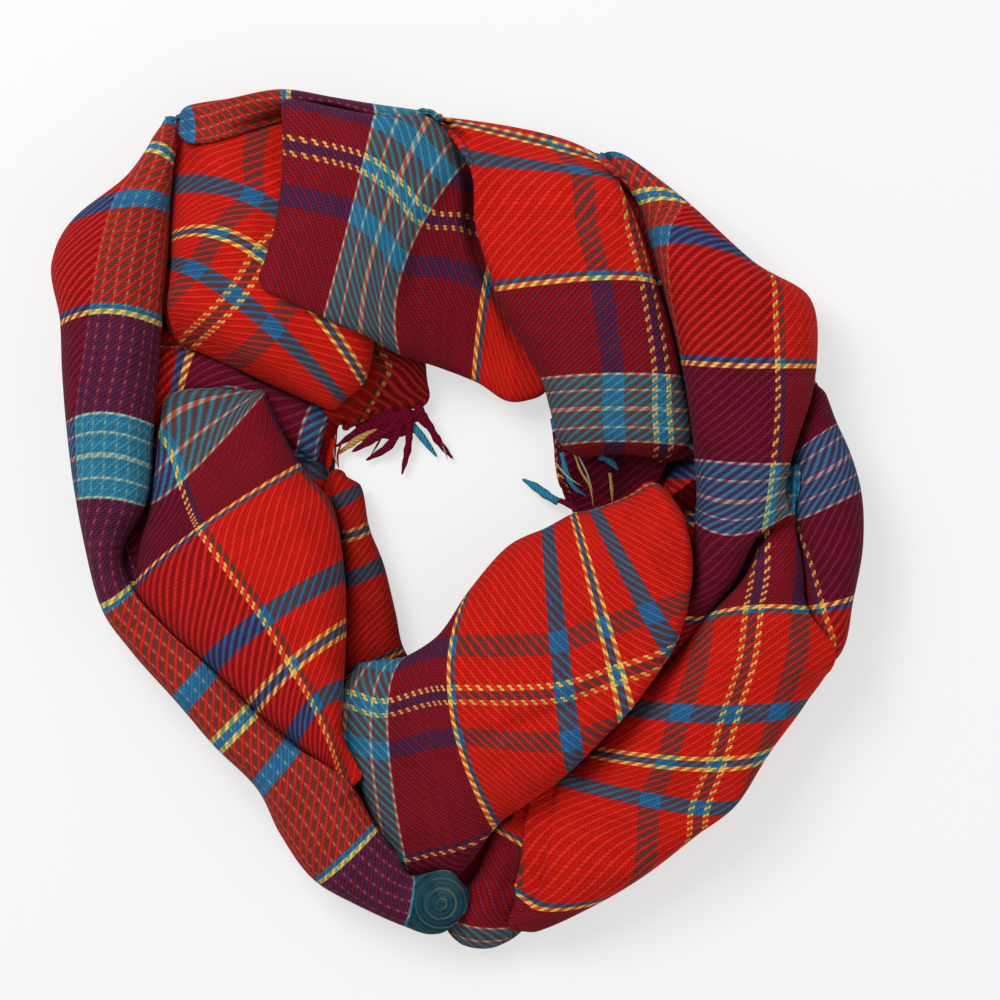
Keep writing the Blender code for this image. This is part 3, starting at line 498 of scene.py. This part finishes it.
def crossSections(stretch, rows, drop, share, lower):
    # dense sections with both margins, then evened out by their own length
    q = np.sin(np.radians(np.linspace(-90, 90, cloth["sectionPoints"])))
    power = stretch["power"]
    q = np.sign(q) * np.abs(q)**(2 / power)
    height = np.maximum(1 - np.abs(q)**power, 0)**(1 / power)
    ways = np.gradient(rows[:, 1:], axis=0)
    floors = [[highest(row[k], row[k + 1], lower) for k in (1, 7)] for row in rows]
    floors = shifted(shifted(np.array(floors), 0, widest), 0, softened)
    dense = []
    for i, (row, fall, whole, way) in enumerate(zip(rows, drop, share, ways)):
        a, crown, b = row[1:4].copy(), row[4:7], row[7:10].copy()
        for edge, least in ((a, floors[i, 0]), (b, floors[i, 1])):
            edge[2] = max(edge[2], least + cloth["tightestRoll"])
        endSize = stretch["start" if i < len(rows) / 2 else "end"][1]
        bow = (a + b)[:2] / 2 - crown[:2]
        plan = crown[:2] + q[:, None] * (b - a)[:2] / 2 + (q * q)[:, None] * bow
        edgeZ = a[2] + (b[2] - a[2]) * (q + 1) / 2
        z = edgeZ + height * (crown[2] - edgeZ)
        if fall:
            z = np.maximum(z - fall, np.interp(q, [-1, 1], floors[i]))
        section = np.column_stack([plan, z])
        width = np.linalg.norm((b - a)[:2])
        margins = []
        for key, edge, run, least in (("a", section[0], way[:2], floors[i, 0]),
                                      ("b", section[-1], way[6:8], floors[i, 1])):
            kind, size = stretch[key]
            run = unit(run)
            out = edge[:2] - crown[:2]
            out = unit(out - run * np.dot(out, run))
            if kind == "roll":
                most = min(edge[2] - least, width * cloth["widestRoll"])
                radius = float(np.clip(most, cloth["leastRadius"], size))
                radius *= max(cloth["leastRoll"], 1 - fall / endSize)
                margins.append(turnedEdge(edge, out, radius, fall > 0))
            else:
                margins.append(hiddenEdge(edge, out, min(size, width) * whole))
        dense.append(np.concatenate([margins[0][::-1], section, margins[1]]))
    dense = np.array(dense)
    lengths = np.linalg.norm(np.diff(dense, axis=1), axis=2)
    arc = np.concatenate([np.zeros((len(dense), 1)), np.cumsum(lengths, axis=1)], axis=1)
    crownArc = arc[:, cloth["edgePoints"] + cloth["sectionPoints"] // 2]
    width = np.percentile(arc[:, -1], cloth["wholeSections"])
    columns = int(width / cloth["step"]) + 2
    points = np.zeros((len(dense), columns, 3))
    u = np.zeros((len(dense), columns))
    for i in range(len(dense)):
        places = np.linspace(0, arc[i, -1], columns)
        for axis in range(3):
            points[i, :, axis] = np.interp(places, arc[i], dense[i, :, axis])
        u[i] = rows[i, 10] + places - crownArc[i]
    return points, u


def laidCreases(points, marks, seed):
    # lowers or raises the cloth along given lines and adds small unevenness
    x, y = points[:, :, 0], points[:, :, 1]
    change = np.zeros(x.shape)
    ends = cloth["creaseEnds"]
    for x0, y0, x1, y1, depth, width in marks:
        ax, ay = x1 - x0, y1 - y0
        t = np.clip(((x - x0) * ax + (y - y0) * ay) / (ax * ax + ay * ay), 0, 1)
        away = np.hypot(x - x0 - t * ax, y - y0 - t * ay)
        change -= depth * np.exp(-(away / width)**2) * (ends + (1 - ends) * np.sin(math.pi * t))
    size = cloth["undulationLength"]
    shorter, lower = cloth["finerUndulation"]
    for i in range(x.shape[0]):
        for j in range(x.shape[1]):
            place = Vector((x[i, j] / size, y[i, j] / size, seed))
            waves = noise.noise(place) + lower * noise.noise(place * shorter)
            change[i, j] += cloth["undulation"] * waves
    return change


def shaped(name, lower):
    # the grid of a stretch that lies on others, with its u at each point and v at each row
    rows, drop, share = alongRows(stretches[name])
    points, u = crossSections(stretches[name], rows, drop, share, lower)
    seed = list(stretches).index(name) * cloth["undulationSeed"]
    points[:, :, 2] += laidCreases(points, creases[name], seed)
    return points, u, rows[:, :1]


def coiled(points, u, v):
    # plaid coordinates of left_roll's end, where the threads run in rings, and which points lie in
    # that end; these take a darkened material, painted shade
    end = v > coil["startsAt"]
    out = points[:, :, :2] - coil["middle"]
    away = np.abs(coil["radius"] - np.linalg.norm(out, axis=2))
    rings = coil["startsAt"] + coil["firstThread"] + coil["threadPitch"] * away
    turn = np.arctan2(out[:, :, 0], out[:, :, 1]) / (2 * math.pi)
    around = coil["crownU"] + coil["threadsRound"] * plaid["warpPitch"] * turn
    return np.where(end, around, u), np.where(end, rings, v), end


def gather(u, v, gathers):
    # takes up more cloth beyond the crown line, which lies at the middle of the plaid
    beyond = np.maximum(u, 0)
    share = np.clip((gathers["fromRow"] - v) / (gathers["fromRow"] - gathers["toRow"]), 0, 1)
    return u + gathers["share"] * share * beyond


def gridFaces(rows, columns):
    k = (np.arange(rows - 1)[:, None] * columns + np.arange(columns - 1)).ravel()
    return np.column_stack([k, k + 1, k + columns + 1, k + columns])


def facesUp(points, faces):
    flat = points.reshape(-1, 3)
    p = flat[faces][:, :, :2]
    area = np.cross(p[:, 1] - p[:, 0], p[:, 2] - p[:, 0]).sum()
    return faces if area > 0 else faces[:, ::-1]


def tree(points, faces):
    return BVHTree.FromPolygons([Vector(p) for p in points.reshape(-1, 3)], faces.tolist())


def plaidPiece(name, points, faces, coordinates, slots, materials):
    # a smooth piece with its plaid coordinates at each point and a material for each face
    mesh = bpy.data.meshes.new(name)
    mesh.from_pydata(points, [], faces)
    layer = mesh.uv_layers.new(name="plaid")
    loops = np.zeros(len(mesh.loops), int)
    mesh.loops.foreach_get("vertex_index", loops)
    layer.data.foreach_set("uv", np.array(coordinates)[loops].ravel())
    for material in materials:
        mesh.materials.append(material)
    mesh.polygons.foreach_set("material_index", slots)
    mesh.shade_smooth()
    piece = bpy.data.objects.new(name, mesh)
    bpy.context.collection.objects.link(piece)
    bpy.context.view_layer.objects.active = piece
    return piece


def clothPiece(name, points, faces, u, v, paintedShadeMask, materials):
    # an open grid thickened into a shell; masked points take the second material, which is
    # darkened: painted shade
    places = (points.reshape(-1, 3) * mm).tolist()
    slots = paintedShadeMask.ravel()[faces].all(axis=1).astype(int)
    coordinates = np.column_stack([u.ravel(), v.ravel()])
    piece = plaidPiece(name, places, faces.tolist(), coordinates, slots, materials)
    wall = piece.modifiers.new("wall", "SOLIDIFY")
    wall.thickness = cloth["thickness"] * mm
    wall.offset = -1.0
    bpy.ops.object.modifier_apply(modifier="wall")
    return piece


def pieceTree(piece):
    mesh = piece.data
    mesh.calc_loop_triangles()
    points = [vertex.co / mm for vertex in mesh.vertices]
    return BVHTree.FromPolygons(points, [tuple(t.vertices) for t in mesh.loop_triangles])


def dye(red, green, blue, cover):
    # cover: how far it hides the thread below
    shares = (value / 255 for value in (red, green, blue))
    return (*(c / 12.92 if c < 0.0405 else ((c + 0.055) / 1.055)**2.4 for c in shares), cover)


dyes = {
    "red": dye(222, 30, 16, 0.5),
    "maroon": dye(110, 10, 40, 0.5),
    "teal": dye(52, 134, 166, 0.5),
    "blue": dye(48, 108, 158, 0.55),
    "yellow": dye(255, 206, 96, 0.93),
    "pale": dye(180, 196, 178, 0.6),
    "tan": dye(206, 160, 92, 0.9),
}

# The plaid, from the middle of the teal band to the middle of a yellow-blue-yellow line, where
# it turns back: a colour and its threads. Single pale threads run in the teal band.
plaid = {
    "warp": [("pale", 1), ("teal", 3), ("pale", 1), ("teal", 3), ("pale", 1), ("teal", 3),
             ("pale", 1), ("teal", 2), ("pale", 1), ("maroon", 35), ("yellow", 2), ("blue", 2),
             ("red", 37.5), ("blue", 7), ("red", 9.5), ("yellow", 2), ("blue", 1)],
    "weft": [("pale", 1), ("teal", 7), ("pale", 1), ("teal", 6), ("pale", 1), ("maroon", 36),
             ("yellow", 2), ("blue", 2), ("red", 39), ("blue", 8), ("red", 14), ("yellow", 2),
             ("blue", 1.5)],
    "warpPitch": 1.53,     # mm between warp threads
    "weftPitch": 1.15,
    "lean": 0.35,          # of each float, towards the run of the ribs
    "grooveShade": 0.66,   # painted shade: colour left between floats
    "ribShade": 0.78,      # painted shade: colour left in the valleys between the ribs
    "threadUnevenness": 0.2,
    "napSize": 1700,       # of the noise, per metre
    "napUnevenness": 0.34,
    "napHighlight": 0.034,     # pale fibre ends on top of the ribs, a painted highlight
    "napHighlightColour": (1.0, 0.8, 0.8, 1.0),
    "patchSize": 60,
    "patches": (0.3, 0.88),  # how uneven the cloth is from place to place, and how dark at least
    "floatCover": (1.9, 0.05),  # how fast a float comes to its whole cover from its rim
    "weftHides": 0.24,     # of what a warp thread lets through, how much a weft thread does
    "bump": 0.0005,
    "bumpStrength": 0.8,
    "relief": (0.55, 0.6, 0.5),  # of the floats, the ribs and the nap
    "roughness": 0.9,
    "specular": 0.05,
    "sheen": 0.02,
    "sheenRoughness": 0.5,
}
yarn = {
    "fibres": (24.0, 2.6),  # how often they cross and how much they slant
    "fibreShade": 0.35,
    "napSize": 1300,
    "napShade": (0.8, 0.35),
    "bump": 0.0004,
}


class Nodes:
    # short ways to wire a material
    def __init__(self, name):
        self.material = bpy.data.materials.new(name)
        self.material.use_nodes = True
        self.tree = self.material.node_tree
        self.shader = self.tree.nodes["Principled BSDF"]

    def feed(self, node, values):
        # links or sets each input
        for key, value in values.items():
            if isinstance(value, bpy.types.NodeSocket):
                self.tree.links.new(value, node.inputs[key])
            else:
                node.inputs[key].default_value = value

    def add(self, kind, values=None, **settings):
        node = self.tree.nodes.new(kind)
        for key, value in settings.items():
            setattr(node, key, value)
        self.feed(node, values or {})
        return node.outputs

    def sum(self, operation, *values):
        return self.add("ShaderNodeMath", dict(enumerate(values)), operation=operation)[0]

    def times(self, *values):
        return self.sum("MULTIPLY", *values)

    def plus(self, *values):
        return self.sum("ADD", *values)

    def minus(self, *values):
        return self.sum("SUBTRACT", *values)

    def scaled(self, value, scale, offset):
        return self.sum("MULTIPLY_ADD", value, scale, offset)

    def mix(self, factor, first, second, blend="MIX"):
        values = {0: factor, 6: first, 7: second}
        return self.add("ShaderNodeMix", values, data_type="RGBA", blend_type=blend)[2]

    def pick(self, choice, first, second):
        # the first number where choice is 0 and the second where it is 1
        values = {0: choice, 2: first, 3: second}
        return self.add("ShaderNodeMix", values, data_type="FLOAT")[0]

    def tint(self, value):
        # one number as a grey colour
        return self.add("ShaderNodeCombineColor", {0: value, 1: value, 2: value})[0]

    def darker(self, colour, value):
        return self.mix(1.0, colour, self.tint(value), "MULTIPLY")

    def power(self, colour, value):
        return self.add("ShaderNodeGamma", {0: colour, 1: value})[0]

    def noise(self, scale, detail):
        values = {"Vector": self.place(), "Scale": scale, "Detail": detail}
        return self.add("ShaderNodeTexNoise", values)["Fac"]

    def place(self):
        return self.add("ShaderNodeTexCoord")["Object"]

    def plaidPlace(self):
        return self.add("ShaderNodeUVMap", uv_map="plaid")["UV"]

    def woollen(self, colour, height, bumpDistance):
        # the finish that cloth and fringe share
        bump = self.add("ShaderNodeBump", {
            "Strength": plaid["bumpStrength"], "Distance": bumpDistance, "Height": height})
        self.feed(self.shader, {
            "Base Color": colour, "Normal": bump["Normal"], "Roughness": plaid["roughness"],
            "Specular IOR Level": plaid["specular"], "Sheen Weight": plaid["sheen"],
            "Sheen Roughness": plaid["sheenRoughness"]})
        return self.material


def stripeColour(nodes, thread, sett):
    # colour of a thread by its place in the plaid
    half = sum(count for _, count in sett)
    place = nodes.sum("FLOORED_MODULO", thread, 2 * half)
    away = nodes.sum("FLOOR", nodes.sum("ABSOLUTE", nodes.minus(place, half)))
    ramp = nodes.tree.nodes.new("ShaderNodeValToRGB")
    ramp.color_ramp.interpolation = "CONSTANT"
    stops = ramp.color_ramp.elements
    start = 0
    for k, (name, count) in enumerate(sett):
        stop = stops[k] if k < 2 else stops.new(start / half)
        stop.position = start / half
        stop.color = dyes[name]
        start += count
    nodes.feed(ramp, {"Fac": nodes.sum("DIVIDE", nodes.plus(away, 0.5), half)})
    return ramp.outputs["Color"], ramp.outputs["Alpha"]


def twillMaterial(name, way, hasPlaid=True, paintedShade=1.0):
    nodes = Nodes(name)
    if hasPlaid:
        uv = nodes.plaidPlace()
    else:
        perMetre = (1 / mm, 1 / mm, 1 / mm)
        uv = nodes.add("ShaderNodeMapping", {"Vector": nodes.place(), "Scale": perMetre})[0]
    u, v, _ = nodes.add("ShaderNodeSeparateXYZ", {0: uv})
    across = nodes.plus(nodes.sum("DIVIDE", u, way * plaid["warpPitch"]), 0.5)
    along = nodes.plus(nodes.sum("DIVIDE", v, plaid["weftPitch"]), 0.5)
    warp, weft = nodes.sum("FLOOR", across), nodes.sum("FLOOR", along)
    inWarp, inWeft = nodes.minus(across, warp), nodes.minus(along, weft)
    # two over, two under, one thread further on at each row: weft floats make the ribs
    beat = nodes.sum("FLOORED_MODULO", nodes.plus(warp, weft), 4.0)
    weftShows = nodes.sum("GREATER_THAN", beat, 1.5)
    turn = nodes.times(nodes.plus(nodes.plus(across, along), -3.5), math.pi / 2)
    rib = nodes.scaled(nodes.sum("COSINE", turn), 0.5, 0.5)
    # place on a float: side runs over the thread and run along it, each from -1 to 1
    side = nodes.pick(weftShows, inWarp, inWeft)
    onWeft = nodes.plus(nodes.plus(beat, -2.0), inWarp)
    run = nodes.plus(nodes.pick(weftShows, nodes.plus(beat, inWeft), onWeft), -1.0)
    side = nodes.scaled(side, 2.0, nodes.scaled(run, plaid["lean"], -1.0))
    rim = nodes.plus(nodes.times(side, side), nodes.sum("POWER", nodes.sum("ABSOLUTE", run), 3.0))
    dome = nodes.sum("SQRT", nodes.sum("MAXIMUM", nodes.minus(1.0, rim), 0.0))
    tops = []
    for thread, sett in ((warp, plaid["warp"]), (weft, plaid["weft"])):
        colour, cover = stripeColour(nodes, thread, sett)
        chance = nodes.add("ShaderNodeTexWhiteNoise", {"W": thread}, noise_dimensions="1D")
        uneven = plaid["threadUnevenness"]
        tone = nodes.scaled(chance["Value"], uneven, 1 - uneven / 2)
        tops.append((nodes.darker(colour, tone), cover))
    fuzz = nodes.noise(plaid["napSize"], 3.0)
    patch = nodes.noise(plaid["patchSize"], 2.0)
    top = nodes.mix(weftShows, tops[0][0], tops[1][0])
    under = nodes.mix(weftShows, tops[1][0], tops[0][0])
    # dyes mix as fibres do, each by its own power; the weft lies further out than the warp
    whole = nodes.sum("MINIMUM", nodes.scaled(dome, *plaid["floatCover"]), 1.0)
    cover = nodes.times(nodes.pick(weftShows, tops[0][1], tops[1][1]), whole)
    hides = nodes.pick(weftShows, 1.0, plaid["weftHides"])
    lets = nodes.times(nodes.minus(1.0, cover), hides)
    top, under = nodes.power(top, nodes.minus(1.0, lets)), nodes.power(under, lets)
    colour = nodes.mix(1.0, top, under, "MULTIPLY")
    nap = plaid["napUnevenness"]
    # painted shade in the grooves between floats and the valleys between ribs, times the random
    # tone of the nap and of patches
    shade = nodes.scaled(dome, 1 - plaid["grooveShade"], plaid["grooveShade"])
    shade = nodes.times(shade, nodes.scaled(rib, 1 - plaid["ribShade"], plaid["ribShade"]))
    shade = nodes.times(shade, nodes.scaled(fuzz, 2 * nap, 1 - nap))
    # the last factor darkens the whole material: painted shade
    uneven, least = plaid["patches"]
    shade = nodes.times(shade, nodes.scaled(patch, uneven * paintedShade, least * paintedShade))
    colour = nodes.darker(colour, shade)
    # painted highlight on the tops of the ribs, from pale fibre ends
    light = nodes.times(nodes.times(rib, dome), nodes.times(fuzz, plaid["napHighlight"]))
    light = nodes.mix(1.0, nodes.tint(light), plaid["napHighlightColour"], "MULTIPLY")
    colour = nodes.mix(1.0, colour, light, "ADD")
    domes, ribs, fibres = plaid["relief"]
    height = nodes.plus(nodes.times(dome, domes), nodes.times(rib, ribs))
    return nodes.woollen(colour, nodes.plus(height, nodes.times(fuzz, fibres)), plaid["bump"])


def yarnMaterial(name, dyeName):
    # twisted wool ends: fine slanting fibres and uneven colour
    nodes = Nodes(name)
    u, v, _ = nodes.add("ShaderNodeSeparateXYZ", {0: nodes.plaidPlace()})
    crossing, slanting = yarn["fibres"]
    slant = nodes.plus(nodes.times(u, crossing), nodes.times(v, slanting))
    fibre = nodes.scaled(nodes.sum("SINE", slant), 0.5, 0.5)
    fuzz = nodes.noise(yarn["napSize"], 4.0)
    shade = nodes.plus(nodes.times(fibre, yarn["fibreShade"]),
                       nodes.scaled(fuzz, *yarn["napShade"]))
    colour = nodes.darker(dyes[dyeName], shade)
    return nodes.woollen(colour, nodes.plus(fibre, fuzz), yarn["bump"])


# Loose warp ends at the two cut ends: dye, thickness, then x, y, z along each
fringes = {
    "fringe_one": [
        ("red", 3.6, [(-62, 40, 9), (-64, 32, 6), (-65, 24, 4)]),
        ("maroon", 1.0, [(-66, 40, 9), (-68, 34, 6), (-70, 27, 3)]),
        ("red", 1.2, [(-58, 38, 9), (-60, 32, 6), (-59.5, 25, 3)]),
        ("pale", 0.8, [(-61, 42, 8), (-62, 33, 7), (-60, 26, 3)]),
        ("maroon", 9.5, [(-50, 44, 6), (-37, 50, 7), (-15, 51, 7)]),
        ("maroon", 8.0, [(-48, 41, 5), (-36, 44, 6), (-19, 45, 5)]),
        ("maroon", 6.0, [(-44, 54, 10), (-40, 49, 9), (-35, 43, 7)]),
        ("maroon", 6.4, [(-36, 55, 10), (-32, 49, 9), (-30, 42, 7)]),
        ("maroon", 6.4, [(-28, 56, 10), (-25, 50, 9), (-24, 43, 7)]),
        ("maroon", 5.4, [(-20, 57, 10), (-18, 51, 9), (-15, 45, 7)]),
        ("maroon", 3.4, [(-44, 48, 8), (-54, 41, 6), (-61, 36, 4)]),
        ("tan", 3.8, [(-36, 49, 8), (-49, 40.5, 7), (-60.5, 32, 4)]),
        ("maroon", 4.2, [(-32, 46, 9), (-43, 39.5, 7), (-53, 33.5, 4)]),
        ("maroon", 1.0, [(-37, 43, 7), (-40, 37.5, 4), (-44, 31, 3)]),
        ("maroon", 4.2, [(-28, 48, 9), (-34, 37, 6), (-46, 29.2, 3.6)]),
        ("maroon", 3.6, [(-24, 48, 9), (-24.7, 37, 6), (-28, 22, 3.6)]),
        ("teal", 3.8, [(-27, 52, 7), (-18, 41, 5), (-10.4, 31, 3.4)]),
        ("maroon", 3.8, [(-17, 52, 9), (-9.5, 38.5, 6), (-2.4, 30, 3.6)]),
        ("pale", 0.8, [(-9, 40, 7), (-7, 35, 6), (-5, 29.5, 4)]),
    ],
    "fringe_two": [
        ("maroon", 3.2, [(60, 4, 13), (54, 8, 10), (46, 10.5, 7.5)]),
        ("teal", 4.4, [(50, 8.5, 9), (45, 11.5, 8), (38, 16.5, 6), (32, 20, 5)]),
        ("teal", 2.6, [(51.5, 33, 24), (54, 23, 22), (58, 15.5, 20), (64, 11.5, 18)]),
        ("tan", 1.3, [(58, 32, 24), (61, 24, 22), (65.5, 16.5, 20), (67.5, 6, 18)]),
        ("pale", 0.9, [(48.5, 28, 23), (54, 21.5, 23), (62, 16, 20)]),
        ("pale", 0.9, [(60, 31, 24), (64, 23, 22), (67, 14, 20)]),
        ("teal", 3.2, [(70, 31, 23), (75, 29, 22), (80, 24, 20)]),
        ("tan", 1.8, [(75.5, 23, 20), (76.5, 15, 18), (77, 8, 16)]),
    ],
}

strandForm = {
    "sides": 10,
    "step": 0.9,           # between rings
    "leastRings": 8,
    "tip": (2.2, 0.12, 0.9),  # how fast it comes to its whole width from the tip, in lengths
    "tipEnd": 0.35,        # of the last ring's radius
    "belly": 0.18,         # thicker in the middle
    "unevenness": 0.05,
    "twist": (0.9, 0.07),  # radians per mm and depth of the lobes
    "flatness": 0.8,
}


def strand(points, thickness):
    # a soft twisted bundle of threads, rooted in the cloth and tapering to a round tip
    sides = strandForm["sides"]
    points = np.array(points, float)
    steps = np.linalg.norm(np.diff(points, axis=0), axis=1)
    stations = np.concatenate([[0], np.cumsum(steps)])
    length = stations[-1]
    count = max(strandForm["leastRings"], int(length / strandForm["step"]))
    s = np.linspace(0, length, count)
    path = smooth(stations, points, s)
    ways = np.gradient(path, axis=0)
    ways /= np.linalg.norm(ways, axis=1)[:, None]
    side = np.cross(ways, (0, 0, 1))
    side /= np.linalg.norm(side, axis=1)[:, None]
    rise = np.cross(side, ways)
    toTip = (length - s) / length
    fast, least, growth = strandForm["tip"]
    turns, depth = strandForm["twist"]
    belly = strandForm["belly"]
    taper = np.minimum(1.0, least + np.sqrt(np.clip(toTip * fast, 0, 1)) * growth)
    radius = thickness / 2 * taper
    radius = radius * (1 - belly + belly * np.sin(np.pi * s / length))
    radius = radius * (1 + strandForm["unevenness"] * np.sin(s * turns + points[0, 0]))
    radius[-1] *= strandForm["tipEnd"]
    rings, coordinates, faces = [], [], []
    for k in range(count):
        for j in range(sides):
            turn = 2 * math.pi * j / sides
            lobe = 1 + depth * math.cos(2 * turn + s[k] * turns)
            out = math.cos(turn) * side[k] + strandForm["flatness"] * math.sin(turn) * rise[k]
            rings.append(path[k] + radius[k] * lobe * out)
            coordinates.append((j / sides, s[k]))
    for k in range(0, (count - 1) * sides, sides):
        for j in range(sides):
            beside = (j + 1) % sides
            faces.append((k + j, k + beside, k + sides + beside, k + sides + j))
    last = (count - 1) * sides
    faces += [tuple(range(sides - 1, -1, -1)), tuple(last + j for j in range(sides))]
    return rings, coordinates, faces


def fringePiece(name, strands, yarns):
    vertices, coordinates, faces, slots = [], [], [], []
    names = sorted({dyeName for dyeName, _, _ in strands})
    for dyeName, thickness, points in strands:
        rings, places, sides = strand(points, thickness)
        offset = len(vertices)
        vertices += rings
        coordinates += places
        faces += [tuple(k + offset for k in face) for face in sides]
        slots += [names.index(dyeName)] * len(sides)
    vertices = [Vector(p) * mm for p in vertices]
    materials = [yarns[dyeName] for dyeName in names]
    piece = plaidPiece(name, vertices, faces, coordinates, slots, materials)
    piece.select_set(True)
    bpy.ops.object.mode_set(mode="EDIT")
    bpy.ops.mesh.select_all(action="SELECT")
    bpy.ops.mesh.normals_make_consistent(inside=False)
    bpy.ops.object.mode_set(mode="OBJECT")
    piece.select_set(False)
    return piece


# the stretches as they would lie alone, to measure how each presses on the next
bare, walls = {}, {}
for name in stretches:
    points = shaped(name, [])[0]
    faces = gridFaces(*points.shape[:2])
    bare[name] = tree(points, faces)
    walls[name] = tree(points - np.array([0, 0, cloth["thickness"]]), faces)
print("bare stretches made")

# the cloth, from the top of the heap down
twill = {1: twillMaterial("plaid_twill_face", 1), -1: twillMaterial("plaid_twill_turned", -1)}
for name, over in liesUnder.items():
    lower = [bare[other] for other in liesUnder if name in liesUnder[other]]
    points, u, rowV = shaped(name, lower)
    if over:
        under = ceiling(points, [walls[other] for other in over])
        points[:, :, 2] -= pressed(np.maximum(points[:, :, 2] - under, 0))
    least = cloth["thickness"] + cloth["floorGap"]
    points[:, :, 2] = np.maximum(points[:, :, 2], least)
    v = np.repeat(rowV, points.shape[1], axis=1)
    if name in gathered:
        u = gather(u, v, gathered[name])
    faces = facesUp(points, gridFaces(*points.shape[:2]))
    materials = [twill[-1 if name in turned else 1]]
    # a stretch deep in the heap takes a darkened material, painted shade
    if name in paintedDeepShade:
        materials = [twillMaterial("plaid_twill_" + name, 1, paintedShade=paintedDeepShade[name])]
    paintedShadeMask = np.zeros(u.shape, bool)
    if name == "left_roll":
        u, v, paintedShadeMask = coiled(points, u, v)
        # the coil's second material is darkened, painted shade
        materials.append(twillMaterial("plaid_twill_coil_painted_shade", 1, paintedShade=coil["shade"]))
    piece = clothPiece(name + "_cloth", points, faces, u, v, paintedShadeMask, materials)
    walls[name] = pieceTree(piece)
    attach(piece, bodyName)
    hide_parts(name)

yarnDyes = ("red", "maroon", "teal", "tan", "pale")
yarns = {dyeName: yarnMaterial("yarn_" + dyeName, dyeName) for dyeName in yarnDyes}
for name, strands in fringes.items():
    piece = fringePiece(name + "_strands", strands, yarns)
    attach(piece, bodyName)
    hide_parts(name)
    print("fringed", name, len(strands), "strands")

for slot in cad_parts["heap_core"].material_slots:
    slot.material = twillMaterial("plaid_twill_inside", 1, hasPlaid=False)

# floor, light and camera, in metres
stage = {
    "floorSize": 6.0,
    "floorColour": (0.93, 0.93, 0.93, 1.0),
    "floorRoughness": 0.95,
    "floorSpecular": 0.1,
    "floorWhiteness": 0.6,
    # each light's place, size and watts
    "lights": {"key": ((-1.0, 1.1, 1.9), 1.2, 38.0), "fill": ((1.6, -0.8, 1.7), 1.8, 10.0)},
    "ambient": 0.36,
    "cameraHeight": 2.6,
    "frameWidth": 0.5,
    "frameCentre": (0.021, 0.0095),
}
bpy.ops.mesh.primitive_plane_add(size=stage["floorSize"], location=(0, 0, 0))
floor = bpy.context.active_object
floor.name = "floor"
paper = Nodes("floor_paper")
paper.feed(paper.shader, {
    "Base Color": stage["floorColour"], "Roughness": stage["floorRoughness"],
    "Specular IOR Level": stage["floorSpecular"]})
# the camera, and mirrors and glass, see a whiter floor that keeps the part's shadow
lightPath = paper.add("ShaderNodeLightPath")
seen = paper.sum("MAXIMUM", lightPath["Is Camera Ray"], lightPath["Is Glossy Ray"])
seen = paper.sum("MAXIMUM", seen, lightPath["Is Transmission Ray"])
white = paper.add("ShaderNodeEmission", {"Strength": 1.0})
share = paper.times(seen, stage["floorWhiteness"])
blend = paper.add("ShaderNodeMixShader", {0: share, 1: paper.shader.outputs[0], 2: white[0]})
paper.feed(paper.tree.nodes["Material Output"], {"Surface": blend[0]})
floor.data.materials.append(paper.material)
for name, (place, size, power) in stage["lights"].items():
    lamp = bpy.data.lights.new(name, "AREA")
    lamp.size = size
    lamp.energy = power
    light = bpy.data.objects.new(name, lamp)
    light.location = place
    light.rotation_euler = (-Vector(place)).to_track_quat("-Z", "Y").to_euler()
    bpy.context.collection.objects.link(light)
world = bpy.data.worlds.new("studio")
world.use_nodes = True
world.node_tree.nodes["Background"].inputs["Color"].default_value = (1, 1, 1, 1)
world.node_tree.nodes["Background"].inputs["Strength"].default_value = stage["ambient"]
bpy.context.scene.world = world
lens = bpy.data.cameras.new("camera")
lens.sensor_width = 36
lens.lens = lens.sensor_width * stage["cameraHeight"] / stage["frameWidth"]
camera = bpy.data.objects.new("camera", lens)
camera.location = (*stage["frameCentre"], stage["cameraHeight"])
bpy.context.collection.objects.link(camera)
bpy.context.scene.camera = camera
bpy.context.scene.view_settings.view_transform = "Standard"
print("stage set")
